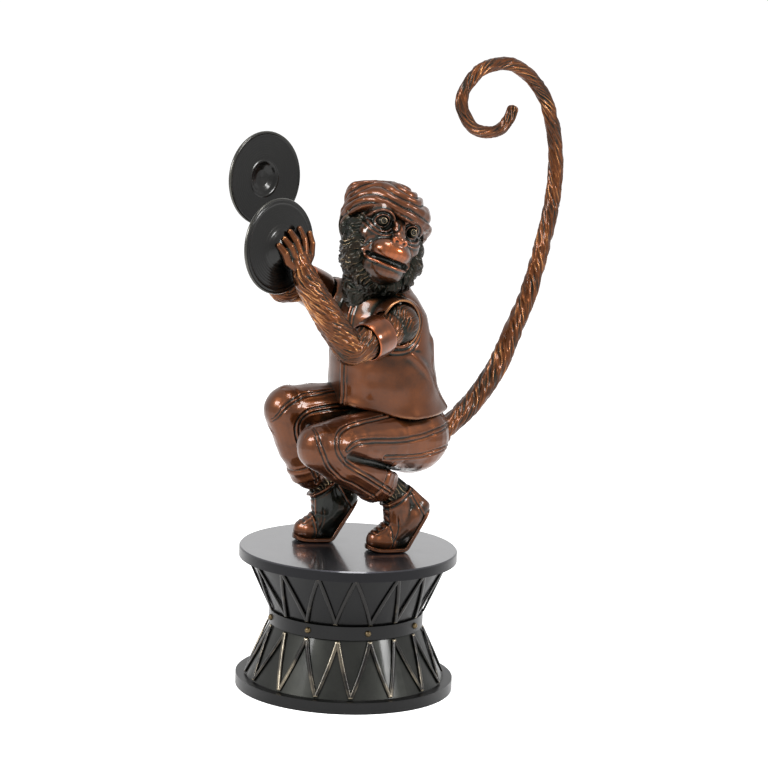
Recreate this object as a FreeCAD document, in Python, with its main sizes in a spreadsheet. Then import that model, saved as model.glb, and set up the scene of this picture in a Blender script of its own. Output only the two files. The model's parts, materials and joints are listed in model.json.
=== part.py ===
import FreeCAD, Part
import math
import os
from FreeCAD import Rotation, Vector

# A cast monkey crouching on a laced drum, with a clockwork in its chest that claps two cymbals.
# Millimetres. +Z is up, the figure's body faces -Y and its own left side is +X.
# The origin is the centre of the drum's underside. "Rise" is a height above the drum's top.

doc = FreeCAD.newDocument("clapping_monkey")
sheet = doc.addObject("Spreadsheet::Sheet", "Sizes")

SIZES = [
    # drum
    ("drum_radius", 108.5), ("base_height", 11.5), ("rim_wall", 10.5), ("recess_depth", 8.5),
    ("cover_thick", 2.5), ("shell_step", 9.5), ("waist_radius", 74.5), ("shell_wall", 4), ("ledge", 5),
    ("lower_height", 53.7), ("band_height", 13.3), ("band_proud", 2.5),
    ("upper_height", 52.5), ("plate_thick", 10.4), ("plate_bevel", 1.2),
    ("lace_width", 3.8), ("lace_thick", 2.2), ("lace_count", 16), ("lace_sunk", 2),
    ("stud_count", 8), ("stud_turn", 22.5), ("stud_radius", 3.2),
    ("rivet_radius", 1.4), ("tie_radius", 4), ("tie_boss_radius", 10), ("tie_boss_depth", 12),
    ("nut_radius", 7), ("nut_thick", 4.5), ("boot_bolt_radius", 2.5), ("boot_bolt_depth", 12),
    ("seat_gap", 0.3), ("fit_gap", 0.05),
    # legs
    ("boot_width", 30), ("boot_round", 5), ("sole_thick", 4.5), ("thigh_radius", 36),
    ("shin_radius", 22), ("sock_radius", 13), ("seat_radius", 41),
    # trunk
    ("hem_rise", 142.6), ("trunk_height", 119), ("trunk_half_width", 59), ("trunk_half_depth", 51),
    ("jacket_wall", 4), ("collar_height", 10), ("collar_wall", 4),
    ("head_radius", 41), ("turban_wrap", 5), ("eye_radius", 6), ("muzzle_radius", 20),
    ("ruff_flare", 4), ("ruff_depth", 28), ("neck_radius", 19), ("neck_height", 40),
    ("tail_root_radius", 11), ("tail_tip_radius", 5.5), ("tail_ring_wall", 2.5),
    # arms
    ("shoulder_half", 50), ("shoulder_y", 12), ("left_rise", 229.6), ("right_rise", 238.6),
    ("ball_radius", 20), ("ball_gap", 0.4), ("boss_wall", 4), ("rim_out", 3), ("arm_radius", 17),
    ("arm_gap", 0.8),
    ("pin_radius", 2), ("armlet_wall", 3), ("armlet_width", 22), ("clap_angle", 9), ("open_angle", 3),
    ("cymbal_radius", 45.5), ("cymbal_thick", 2), ("cymbal_sweep", 2), ("dome_radius", 14),
    ("dome_height", 7),
    ("finger_radius", 4),
    # clockwork
    ("deck_thick", 3), ("crank_reach", 30), ("crank_thick", 4), ("crank_half", 3), ("head_thick", 3),
    ("frame_half", 20), ("frame_wall", 2), ("foot_height", 10.85), ("frame_depth", 62), ("frame_front", 4),
    ("bridge_thick", 3), ("pillar_radius", 2.5), ("rail_half", 6), ("rail_wall", 4), ("slide_gap", 0.15),
    ("winding_y", 54), ("winding_rise", 171.6), ("arbor_radius", 3.5), ("cam_arbor_radius", 2.5),
    ("wheel_teeth", 36), ("pinion_teeth", 12), ("tooth_module", 1), ("wheel_thick", 3),
    ("train_angle", 40), ("mesh_gap", 0.3), ("barrel_radius", 16), ("barrel_wall", 1.2),
    ("barrel_width", 8.5), ("spring_thick", 0.7), ("spring_turns", 5),
    ("cam_tip_radius", 16), ("cam_width", 6), ("cam_gap", 0.4), ("blade_thick", 4), ("pad_length", 7),
    ("pad_height", 6),
    ("ratchet_radius", 9), ("ratchet_teeth", 14), ("key_span", 28), ("key_length", 16), ("key_thick", 3),
    ("hub_radius", 5.5), ("hub_length", 14),
]
for row, (alias, value) in enumerate(SIZES, start=1):
    sheet.set("A%d" % row, alias)
    sheet.set("B%d" % row, str(value))
    sheet.setAlias("B%d" % row, alias)
doc.recompute()


def size(alias):
    return float(sheet.get(alias))


def cells(text):
    """Points each alias of an expression at the sheet."""
    words = sorted((alias for alias, value in SIZES), key=len, reverse=True)
    out = ""
    for word in split_words(text):
        out += "Sizes." + word if word in words else word
    return out


def split_words(text):
    parts = [""]
    for letter in text:
        same = letter.isalnum() or letter == "_"
        if parts[-1] and same == (parts[-1][-1].isalnum() or parts[-1][-1] == "_"):
            parts[-1] += letter
        else:
            parts.append(letter)
    return parts


DECK = "(base_height + lower_height + band_height + upper_height + plate_thick)"
deck = sum(size(a) for a in ("base_height", "lower_height", "band_height", "upper_height", "plate_thick"))
SHELL = "(drum_radius - shell_step)"
RECESS = "(drum_radius - rim_wall)"
FRAME_HEIGHT = ("((left_rise + right_rise - head_thick) / 2 - foot_height - slide_gap - bridge_thick"
                " - deck_thick - hem_rise)")
ALONG = {"x": Rotation(Vector(0, 1, 0), 90), "y": Rotation(Vector(1, 0, 0), -90), "z": Rotation()}


def bound(kind, name, sizes, at, axis="z"):
    """A primitive whose sizes and place are bound to the sheet."""
    piece = doc.addObject(kind, name)
    piece.Placement.Rotation = ALONG[axis]
    for prop, text in sizes.items():
        piece.setExpression(prop, cells(text))
    for way, text in zip("xyz", at):
        piece.setExpression("Placement.Base." + way, cells(text))
    return piece


def cylinder(name, radius, height, at, axis="z"):
    return bound("Part::Cylinder", name, {"Radius": radius, "Height": height}, at, axis)


def cone(name, low, high, height, at):
    return bound("Part::Cone", name, {"Radius1": low, "Radius2": high, "Height": height}, at)


def block(name, spans, at):
    return bound("Part::Box", name, dict(zip(("Length", "Width", "Height"), spans)), at)


def fused(name, pieces):
    union = doc.addObject("Part::MultiFuse", name)
    union.Shapes = pieces
    return union


def without(name, base, tools):
    cut = doc.addObject("Part::Cut", name)
    cut.Base = base
    cut.Tool = tools[0] if len(tools) == 1 else fused(name + "_tools", tools)
    return cut


NODES = []


def keep(piece, label):
    piece.Label = label
    NODES.append(piece)
    return piece


def shaped(label, shape):
    """A sub-part whose free form comes from Part's own functions."""
    piece = doc.addObject("Part::Feature", label)
    piece.Shape = shape
    return keep(piece, label)


# ---- the drum ----

def base_pieces():
    ring = cylinder("ring_body", "drum_radius", "base_height", ("0", "0", "0"))
    recess = cylinder("ring_recess", RECESS, "recess_depth", ("0", "0", "0"))
    eye = cylinder("ring_eye", SHELL + " - shell_wall - ledge", "base_height", ("0", "0", "0"))
    keep(without("ring_cut", ring, [recess, eye]), "base_ring")
    low = "recess_depth - cover_thick"
    disc = cylinder("cover_disc", RECESS + " - seat_gap", "cover_thick", ("0", "0", low))
    hole = cylinder("cover_hole", "tie_radius + fit_gap", "cover_thick", ("0", "0", low))
    keep(without("cover_cut", disc, [hole]), "base_cover")


def drum_shell(label, low_radius, high_radius, height, bottom):
    outer = cone(label + "_outer", low_radius, high_radius, height, ("0", "0", bottom))
    inner = cone(label + "_inner", low_radius + " - shell_wall", high_radius + " - shell_wall", height,
                 ("0", "0", bottom))
    keep(without(label + "_cut", outer, [inner]), label)


def waist_band():
    bottom = "base_height + lower_height"
    inner = "waist_radius - shell_wall"
    ring = cylinder("band_body", "waist_radius + band_proud", "band_height", ("0", "0", bottom))
    bore = cylinder("band_bore", inner, "band_height", ("0", "0", bottom))
    pin = cylinder("band_rivet_bore", "rivet_radius", "shell_wall + band_proud",
                   (inner, "0", bottom + " + band_height / 2"), "x")
    holes = around("band_rivet_bores", pin, "stud_count")
    keep(without("band_cut", ring, [bore, holes]), "waist_band")


def around(name, piece, count):
    """Copies of a piece, evenly round the drum's axis."""
    ring = doc.addObject("Part::Compound", name)
    copies = [piece]
    for turn in range(1, int(size(count))):
        copy = doc.addObject("Part::Feature", "%s_%d" % (name, turn))
        doc.recompute([piece])
        copy.Shape = piece.Shape
        spin = Rotation(Vector(0, 0, 1), 360.0 * turn / size(count))
        copy.Placement = FreeCAD.Placement(Vector(), spin).multiply(piece.Placement)
        copies.append(copy)
    ring.Links = copies
    ring.Placement = FreeCAD.Placement(Vector(), Rotation(Vector(0, 0, 1), size("stud_turn")))
    return ring


def band_studs():
    outer = size("waist_radius") + size("band_proud")
    middle = Vector(outer, 0, size("base_height") + size("lower_height") + size("band_height") / 2)
    wall = size("band_proud") + size("shell_wall")
    pin = Part.makeCylinder(size("rivet_radius"), wall, middle - Vector(wall, 0, 0), Vector(1, 0, 0))
    dome = Part.makeSphere(size("stud_radius"), middle)
    dome = dome.cut(Part.makeCylinder(outer, 2 * middle.z, Vector()))
    stud = dome.fuse(pin)
    studs = Part.makeCompound(spun(stud, int(size("stud_count"))))
    studs.rotate(Vector(), Vector(0, 0, 1), size("stud_turn"))
    shaped("band_studs", studs)


def spun(shape, count):
    copies = []
    for turn in range(count):
        copy = shape.copy()
        copy.rotate(Vector(), Vector(0, 0, 1), 360.0 * turn / count)
        copies.append(copy)
    return copies


def lacing(label, low_radius, high_radius, bottom, height, first_turn):
    """A zigzag of flat strap that lies on a conical shell."""
    wide, thick = size("lace_width"), size("lace_thick")
    count = int(size("lace_count"))
    sunk = size("lace_sunk")
    core = Part.makeCone(low_radius, high_radius, height, Vector(0, 0, bottom))
    zone = Part.makeCylinder(size("drum_radius"), height, Vector(0, 0, bottom))
    low, high = polar(low_radius, 0, bottom), polar(high_radius, 0, bottom + height)
    half_step = 180.0 / count
    runs = []
    for step in range(2 * count):
        near, far = (low, high) if step % 2 == 0 else (high, low)
        start = polar(near.x, half_step * step, near.z)
        end = polar(far.x, half_step * (step + 1), far.z)
        way = end - start
        outward = polar(1, half_step * (step + 0.5), 0)
        turn = Rotation(way, Vector(), outward, "XZY")
        strap = Part.makeBox(way.Length + wide, wide, sunk + thick, Vector(-wide / 2, -wide / 2, -sunk))
        strap.Placement = FreeCAD.Placement(start, turn)
        runs.append(strap.common(zone).cut(core))
    straps = runs[0].multiFuse(runs[1:])
    straps.rotate(Vector(), Vector(0, 0, 1), first_turn)
    shaped(label, straps)


def polar(radius, angle, height):
    turn = math.radians(angle)
    return Vector(radius * math.cos(turn), radius * math.sin(turn), height)


def top_plate():
    """The drum's top: a bevelled disc with a boss below for the tie bolt, and two boot holes."""
    bottom = DECK + " - plate_thick"
    straight = cylinder("plate_body", "drum_radius", "plate_thick - plate_bevel", ("0", "0", bottom))
    edge = cone("plate_edge", "drum_radius", "drum_radius - plate_bevel", "plate_bevel",
                ("0", "0", DECK + " - plate_bevel"))
    boss = cylinder("plate_boss", "tie_boss_radius", "tie_boss_depth",
                    ("0", "0", bottom + " - tie_boss_depth"))
    body = fused("plate_fused", [straight, edge, boss])
    bore = cylinder("tie_bore", "tie_radius", "tie_boss_depth", ("0", "0", bottom + " - tie_boss_depth"))
    tools = [bore]
    for side, (x, y, turn) in BALLS.items():
        tools.append(cylinder(side + "_bolt_hole", "boot_bolt_radius", "plate_thick",
                              (str(x), str(y), bottom)))
    keep(without("plate_cut", body, tools), "drum_top_plate")


def fasteners():
    top = DECK + " - plate_thick"
    rod = cylinder("tie_shank", "tie_radius", top + " - recess_depth + cover_thick",
                   ("0", "0", "recess_depth - cover_thick"))
    nut = cylinder("tie_head", "nut_radius", "nut_thick",
                   ("0", "0", "recess_depth - cover_thick - nut_thick"))
    keep(fused("tie_fused", [rod, nut]), "tie_bolt")
    bolts = []
    for side, (x, y, turn) in BALLS.items():
        shank = cylinder(side + "_bolt_shank", "boot_bolt_radius", "plate_thick + boot_bolt_depth",
                         (str(x), str(y), top))
        head = cylinder(side + "_bolt_head", "2 * boot_bolt_radius", "boot_bolt_radius",
                        (str(x), str(y), top + " - boot_bolt_radius"))
        bolts.append(fused(side + "_bolt", [shank, head]))
    both = doc.addObject("Part::Compound", "boot_bolt_pair")
    both.Links = bolts
    keep(both, "boot_bolts")


# ---- limbs and boots ----

# each boot's ball on the drum (x, y) and how far its toe is turned from -Y
BALLS = {"left": (37.7, 33, -21.3), "right": (-33.5, -2, -30.5)}
# x, y, rise and radius along each leg
THIGHS = {"left": [(24, 58, 110.6, 36), (30, 20, 112.6, 30), (34, -30, 113.6, 27), (35, -68, 112.6, 23)],
          "right": [(-26, 50, 120.6, 34), (-32, 0, 130.6, 30), (-35, -54, 136.6, 24)]}
SHINS = {"left": [(35, -68, 112.6, 22.6), (34, -22, 86.6, 22), (32, 10, 69, 19)],
         "right": [(-35, -54, 136.6, 23.6), (-34, -41, 98.6, 20), (-33, -26, 72, 17)]}
SOCKS = {"left": [(32, 10, 68, 13), (32, 40, 46, 14)], "right": [(-33, -26, 70, 12), (-32, -6, 46, 13)]}


def limb(points, scale=1.0):
    """Balls joined by tapering tubes. The tubes are a little thinner, so that the faces cross cleanly."""
    sunk = 0.985
    places = [Vector(x, y, deck + rise) for x, y, rise, radius in points]
    radii = [radius * scale for x, y, rise, radius in points]
    parts = [Part.makeSphere(radius, place) for radius, place in zip(radii, places)]
    for a in range(len(points) - 1):
        way = places[a + 1] - places[a]
        parts.append(taper(places[a], way, radii[a] * sunk, radii[a + 1] * sunk))
    return parts[0].multiFuse(parts[1:])


def taper(start, way, first, last):
    if abs(first - last) < 0.01:
        return Part.makeCylinder(first, way.Length, start, way)
    return Part.makeCone(first, last, way.Length, start, way)


def half_space(side):
    """All that lies on one side of the figure's middle plane."""
    reach = 400
    x = 0 if side == "left" else -reach
    return Part.makeBox(reach, 2 * reach, 2 * reach, Vector(x, -reach, 0))


def boot_solid(side):
    """A tiptoe boot: flat from toe to ball, its sole rising to the heel, its shaft over the ball."""
    x, y, turn = BALLS[side]
    width = size("boot_width")
    sole = [(26, 0), (0, 0), (-44, 35)]
    upper = [(-44, 35), (-46, 40), (-36, 50), (-27, 57), (6, 52), (8, 34), (14, 22), (23, 13), (28, 6),
             (26, 0)]
    edges = [Part.LineSegment(side_point(a, width), side_point(b, width)).toShape()
             for a, b in zip(sole[:-1], sole[1:])]
    edges += [Part.LineSegment(side_point(a, width), side_point(b, width)).toShape()
              for a, b in zip(upper[:-1], upper[1:])]
    body = Part.Face(Part.Wire(edges)).extrude(Vector(width, 0, 0))
    plan = [(28, 7), (20, 12), (2, 15), (-20, 12.5), (-46, 13), (-50, 8), (-50, -8), (-46, -13), (-20, -12.5),
            (2, -15), (20, -12), (28, -7), (28, 7)]
    outline = Part.makePolygon([Vector(v * width / 30, -u, 0) for u, v in plan])
    body = body.common(Part.Face(outline).extrude(Vector(0, 0, 70)))
    body.translate(Vector(x, y, deck))
    body.rotate(Vector(x, y, 0), Vector(0, 0, 1), turn)
    return body


def side_point(spot, width):
    return Vector(-width / 2, -spot[0], spot[1])


def sole_slab(side):
    """The layer just above the sole line, as wide as anything."""
    x, y, turn = BALLS[side]
    thick = size("sole_thick")
    slope = math.atan2(35, 44)
    lift = Vector(0, -math.sin(slope) * thick, math.cos(slope) * thick)
    bend = thick * math.tan(slope / 2)
    heel = Vector(-40, 60, 60 * 35 / 44)
    outline = [Vector(-40, -60, -1), Vector(-40, -60, thick), Vector(-40, -bend, thick), heel + lift, heel,
               Vector(-40, 0, -1), Vector(-40, -60, -1)]
    slab = Part.Face(Part.makePolygon(outline)).extrude(Vector(80, 0, 0))
    slab.translate(Vector(x, y, deck))
    slab.rotate(Vector(x, y, 0), Vector(0, 0, 1), turn)
    return slab


def leg(side, trunk, seat):
    boot = boot_solid(side)
    slab = sole_slab(side)
    x, y, turn = BALLS[side]
    bolt = Part.makeCylinder(size("boot_bolt_radius"), size("boot_bolt_depth"), Vector(x, y, deck))
    shaped(side + "_sole", boot.common(slab).cut(bolt))
    shaped(side + "_boot", boot.cut(slab).cut(bolt))
    thigh = limb(THIGHS[side], size("thigh_radius") / 36)
    shin = limb(SHINS[side], size("shin_radius") / 22)
    trousers = thigh.fuse(shin).common(half_space(side)).cut(trunk).cut(seat)
    shaped(side + "_trouser_leg", trousers)
    sock = limb(SOCKS[side], size("sock_radius") / 13)
    shaped(side + "_sock", sock.cut(trousers).cut(boot))


# ---- trunk, head and tail ----

# rise share of the trunk's height, middle y, half width and half depth as shares of the widest
TRUNK = [(0.0, 40, 0.97, 1.0), (0.14, 36, 1.0, 1.0), (0.35, 34, 0.96, 0.97), (0.6, 33, 0.88, 0.88),
         (0.76, 32, 0.82, 0.8), (0.9, 31, 0.62, 0.66), (1.0, 33, 0.37, 0.43)]


def trunk_solid(inset, drop):
    """The jacket's form as a loft of ellipses, made smaller all round by a wall."""
    rings = []
    for share, y, wide, deep in TRUNK:
        rise = size("hem_rise") + share * (size("trunk_height") - drop)
        wide = wide * size("trunk_half_width") - inset
        deep = deep * size("trunk_half_depth") - inset
        long, short = max(wide, deep), min(wide, deep)
        ring = Part.Ellipse(Vector(0, 0, 0), long, short).toShape()
        if deep > wide:
            ring.rotate(Vector(), Vector(0, 0, 1), 90)
        ring.translate(Vector(0, y, deck + rise))
        rings.append(Part.Wire(ring))
    return Part.makeLoft(rings, True)


def shoulder(side):
    sign = 1 if side == "left" else -1
    return Vector(sign * size("shoulder_half"), size("shoulder_y"), deck + size(side + "_rise"))


def arm_tunnel(side):
    """The room that the upper arm sweeps as it claps."""
    sign = 1 if side == "left" else -1
    first, second = [Vector(x, y, deck + rise) for x, y, rise, radius in ARMS[side][:2]]
    way = (second - first) * 1.2
    cones = []
    for angle in (-size("clap_angle"), -size("clap_angle") / 2, 0, size("open_angle")):
        turned = Rotation(Vector(0, 0, 1), sign * angle).multVec(way)
        radius = size("arm_radius") + size("arm_gap")
        cones.append(Part.makeCylinder(radius, way.Length, first, turned))
    return cones


def bosses(side):
    """A round armhole boss that carries the shoulder ball."""
    sign = 1 if side == "left" else -1
    middle = shoulder(side)
    outer = size("ball_radius") + size("ball_gap") + size("boss_wall")
    boss = Part.makeSphere(outer, middle)
    rim = Part.makeBox(400, 400, 400, Vector(-200, -200, 0))
    rim.translate(Vector(sign * (size("shoulder_half") + size("rim_out") - 200), 0, middle.z - 200))
    return boss.common(rim)


def jacket_pieces():
    solid = trunk_solid(0, 0)
    hollow = trunk_solid(size("jacket_wall"), size("jacket_wall"))
    shell = solid.cut(hollow)
    for side, sign in (("left", 1), ("right", -1)):
        middle = shoulder(side)
        shell = shell.fuse(bosses(side))
        room = Part.makeSphere(size("ball_radius") + size("ball_gap"), middle)
        slot_half = 3 * size("crank_half")
        slot_high = size("crank_thick") + 2 * size("seat_gap")
        slot = Part.makeBox(2 * size("boss_wall") + 12, 2 * slot_half, slot_high)
        slot_x = sign * (size("shoulder_half") - size("ball_radius"))
        slot.translate(Vector(slot_x - slot.BoundBox.XLength / 2,
                              middle.y - slot_half, middle.z - slot_high / 2))
        pins = Part.makeCylinder(size("pin_radius"), 80, middle - Vector(0, 0, 40))
        shell = shell.cut([room, slot, pins] + arm_tunnel(side))
    key_mouth = Vector(-size("frame_half") - 6, size("winding_y"), deck + size("winding_rise"))
    key_hole = Part.makeCylinder(size("arbor_radius") + size("seat_gap"), 100, key_mouth, Vector(-1, 0, 0))
    shell = shell.cut(key_hole)
    shaped("jacket", largest(shell))
    top = deck + size("hem_rise") + size("trunk_height")
    ring = Part.makeCone(34, 27, size("collar_height"), Vector(0, 31, top - size("collar_height") - 2))
    bore = Part.makeCone(34 - size("collar_wall"), 27 - size("collar_wall"), size("collar_height"),
                         Vector(0, 31, top - size("collar_height") - 2))
    shaped("collar", ring.cut(bore).cut(solid).cut(shell))
    pins = []
    for side in ("left", "right"):
        middle = shoulder(side)
        for way in (1, -1):
            foot = middle + Vector(0, 0, way * (size("ball_radius") - 6))
            reach = 6 + size("ball_gap") + size("boss_wall") - 0.2
            pins.append(Part.makeCylinder(size("pin_radius"), reach, foot, Vector(0, 0, way)))
    shaped("shoulder_pins", Part.makeCompound(pins))
    return solid


def largest(shape):
    """The biggest solid of a shape, without loose crumbs of its cuts."""
    return max(shape.Solids, key=lambda solid: solid.Volume)


# the head's own frame: x to its left, y backwards, z up, turned to look over the left shoulder
HEAD_TURN = (74, -10.8, 21)
HEAD_PLACE = (0, 27, 311.6)


def head_place():
    yaw, pitch, roll = HEAD_TURN
    turn = Rotation(Vector(0, 0, 1), yaw).multiply(Rotation(Vector(1, 0, 0), pitch))
    turn = turn.multiply(Rotation(Vector(0, 1, 0), roll))
    x, y, rise = HEAD_PLACE
    return FreeCAD.Placement(Vector(x, y, deck + rise), turn)


def placed(shape):
    copy = shape.copy()
    copy.Placement = head_place().multiply(copy.Placement)
    return copy


def head_pieces():
    radius = size("head_radius")
    middle = Vector(0, 4, 8)
    skull = Part.makeSphere(radius, middle)
    ears = [Part.makeCylinder(10, 5, Vector(way * radius - 2.5, 6, 0), Vector(1, 0, 0)) for way in (1, -1)]
    head = skull.multiFuse(ears)
    brow = Part.makeBox(200, 200, 100, Vector(-100, -100, 20))
    turban = Part.makeSphere(radius + size("turban_wrap"), middle).common(brow)
    turban = turban.cut(head)
    muzzle = Part.makeSphere(size("muzzle_radius"), Vector(0, -radius + 7, -22)).cut(head)
    deep = size("ruff_depth")
    ruff = Part.makeCone(radius - 4, radius + size("ruff_flare"), deep, Vector(0, deep / 2, -5),
                         Vector(0, -1, 0))
    ruff = ruff.cut([head, muzzle, Part.makeBox(200, 200, 100, Vector(-100, -100, 20))])
    eyes = []
    for way in (1, -1):
        spot = middle + Vector(way * 16, -37.5, -4) * (radius / 41)
        eyes.append(Part.makeSphere(size("eye_radius"), spot, spot - middle).cut(skull))
    top = deck + size("hem_rise") + size("trunk_height")
    neck = Part.makeCylinder(size("neck_radius"), size("neck_height"), Vector(0, 33, top))
    pieces = [placed(shape) for shape in (head, turban, muzzle, largest(ruff), Part.makeCompound(eyes))]
    for label, piece in zip(("head", "turban", "muzzle", "ruff", "eyes"), pieces):
        shaped(label, piece)
    shaped("neck", neck.cut(pieces))


# y, rise and share of the way from root radius to tip radius, down the middle of the tail
TAIL = [(100, 98.6, 0.0), (121, 108.6, 0.0), (146, 124, 0.0), (167, 141.6, 0.0), (190, 169, 0.1),
        (209, 203.6, 0.2), (229, 243, 0.3), (243, 285.6, 0.4), (253, 322, 0.5), (258, 357.6, 0.55),
        (256, 396, 0.6), (245, 429.6, 0.65), (232, 450, 0.65), (214, 465.6, 0.7), (192, 476, 0.75),
        (170, 476.6, 0.8), (147, 470, 0.8), (132, 455, 0.85), (125, 441, 0.85), (129, 427.6, 0.9),
        (142, 413, 0.9), (160, 408.6, 0.95), (178, 411, 0.95), (189, 420.6, 1.0), (197, 435, 1.0)]


def tail_pieces(seat):
    root, tip = size("tail_root_radius"), size("tail_tip_radius")
    spots = [Vector(0, y, deck + rise) for y, rise, share in TAIL]
    rings = []
    for at, spot in enumerate(spots):
        way = spots[min(at + 1, len(spots) - 1)] - spots[max(at - 1, 0)]
        radius = root + (tip - root) * TAIL[at][2]
        rings.append(Part.Wire(Part.Circle(spot, way, radius).toShape()))
    tail = Part.makeLoft(rings, True).cut(seat)
    way = spots[1] - spots[0]
    way.normalize()
    inner = root + size("fit_gap")
    start = spots[0] + way * 11
    ring = Part.makeCylinder(inner + size("tail_ring_wall"), 7, start, way)
    ring = ring.cut(Part.makeCylinder(inner, 7, start, way)).cut([seat, tail])
    shaped("tail", largest(tail))
    shaped("tail_ring", largest(ring))


# ---- arms, hands and cymbals ----

# x, y, rise and radius from the shoulder ball to the elbow, and on to the wrist
ARMS = {"left": [(50, 12, 229.6, 17), (57, -30, 216.6, 17), (58, -54, 209.6, 15)],
        "right": [(-50, 12, 238.6, 17), (-54, -20, 256.6, 17), (-55, -50, 254.6, 14)]}
FOREARMS = {"left": [(58, -54, 209.6, 15), (53, -76, 238.6, 14), (46, -100, 276.6, 12),
                     (45, -104, 285.6, 11)],
            "right": [(-55, -50, 254.6, 14), (-51, -64, 292.6, 13), (-45, -81, 332.6, 10.5)]}
# cymbal middle (x, y, rise), and its axis towards the hand
CYMBALS = {"left": ((30, -121, 308.6), (0.990, 0.139, 0)), "right": ((-30, -96, 366.3), (-0.996, -0.087, 0))}


def cymbal_shape(side):
    """A thin dished disc with a raised dome, turned about its axis."""
    radius, thick = size("cymbal_radius"), size("cymbal_thick")
    dome, high = size("dome_radius"), size("dome_height")
    sweep = size("cymbal_sweep")
    flat = [Vector(dome, 0, 0), Vector(radius, 0, -sweep), Vector(radius, 0, thick - sweep),
            Vector(dome, 0, thick)]
    ball = (dome ** 2 + high ** 2) / (2 * high)
    half_turn = math.asin(dome / ball) / 2
    crest = Vector(ball * math.sin(half_turn), 0, high - ball + ball * math.cos(half_turn))
    lift = Vector(0, 0, thick)
    crown_out = Part.Arc(Vector(dome, 0, thick), crest + lift, Vector(0, 0, thick + high)).toShape()
    crown_in = Part.Arc(Vector(0, 0, high), crest, Vector(dome, 0, 0)).toShape()
    axis = Part.LineSegment(Vector(0, 0, thick + high), Vector(0, 0, high)).toShape()
    edges = [Part.LineSegment(a, b).toShape() for a, b in zip(flat[:-1], flat[1:])]
    disc = Part.Face(Part.Wire(edges + [crown_out, axis, crown_in])).revolve(Vector(), Vector(0, 0, 1), 360)
    (x, y, rise), way = CYMBALS[side]
    disc.Placement = FreeCAD.Placement(Vector(x, y, deck + rise), Rotation(Vector(0, 0, 1), Vector(*way)))
    return disc


def capsule(start, end, first, last):
    way = end - start
    tube = taper(start, way, first * 0.985, last * 0.985)
    return tube.multiFuse([Part.makeSphere(first, start), Part.makeSphere(last, end)])


def hand_shape(side, cymbal, forearm):
    """A palm, four fingers over the dome and a thumb, all resting on the cymbal."""
    (x, y, lift), way = CYMBALS[side]
    middle, axis = Vector(x, y, deck + lift), Vector(*way)
    wx, wy, wrise, wradius = FOREARMS[side][-1]
    wrist = Vector(wx, wy, deck + wrise)
    up = Vector(0, 0, 1)
    across = axis.cross(up)
    across.normalize()
    ahead = -1 if across.y > 0 else 1
    across = across * ahead
    thin = size("finger_radius")
    knuckles = middle + axis * (size("dome_height") + thin + 4) + across * -6
    palm = capsule(wrist, knuckles, wradius, wradius * 0.85)
    parts = [palm]
    stand = size("cymbal_thick") + thin - 1.2
    for angle in (-14, 8, 30, 52):
        turn = math.radians(angle)
        ray = across * math.cos(turn) + up * math.sin(turn)
        knee = knuckles + ray * 12 + axis * -1
        tip = middle + ray * 21 + axis * stand
        parts.append(capsule(knee, tip, thin, thin * 0.85))
        parts.append(capsule(knuckles, knee, thin, thin))
    ray = across * -0.7 + up * 0.7
    parts.append(capsule(knuckles, middle + ray * 19 + axis * stand, thin * 1.1, thin))
    whole = parts[0].multiFuse(parts[1:])
    return largest(whole.cut([cymbal, forearm]))


def arm(side):
    sign = 1 if side == "left" else -1
    middle = shoulder(side)
    scale = size("arm_radius") / 17
    upper = limb(ARMS[side], scale).fuse(Part.makeSphere(size("ball_radius"), middle))
    reach = size("crank_reach")
    thick, half = size("crank_thick"), size("crank_half")
    inner = Vector(middle.x - sign * (size("ball_radius") - 6), middle.y, middle.z)
    bar = Part.makeBox(reach - size("ball_radius") + 6, 2 * half, thick)
    low_x = min(inner.x, middle.x - sign * reach)
    bar.translate(Vector(low_x, middle.y - half, middle.z - thick / 2))
    end = Vector(middle.x - sign * reach, middle.y, middle.z - thick / 2)
    eye = Part.makeCylinder(half + 1, thick, end)
    slide_mid = deck + (size("left_rise") + size("right_rise")) / 2
    far = slide_mid + (1 if middle.z < slide_mid else -1) * size("head_thick") / 2
    pin_low, pin_high = min(end.z, far), max(end.z + thick, far)
    pin = Part.makeCylinder(size("pin_radius"), pin_high - pin_low, Vector(end.x, end.y, pin_low))
    crank = bar.multiFuse([eye, pin])
    bore = [Part.makeCylinder(size("pin_radius") + size("fit_gap"), 40, middle + Vector(0, 0, way * 13.8),
                              Vector(0, 0, way)) for way in (1, -1)]
    upper = upper.cut([crank] + bore)
    forearm = limb(FOREARMS[side], scale).cut(upper)
    first, second = [Vector(x, y, deck + rise) for x, y, rise, radius in ARMS[side][:2]]
    way = second - first
    way.normalize()
    wide = size("armlet_width")
    cuff = Part.makeCylinder(size("arm_radius") + size("armlet_wall"), wide, second - way * (wide - 5), way)
    cuff = largest(cuff.cut([upper, forearm]))
    cymbal = cymbal_shape(side)
    shaped(side + "_upper_arm", largest(upper))
    shaped(side + "_armlet", cuff)
    shaped(side + "_forearm", largest(forearm))
    shaped(side + "_hand", hand_shape(side, cymbal, forearm))
    shaped(side + "_cymbal", cymbal)
    shaped(side + "_crank", crank)


# ---- the clockwork in the chest ----

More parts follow.
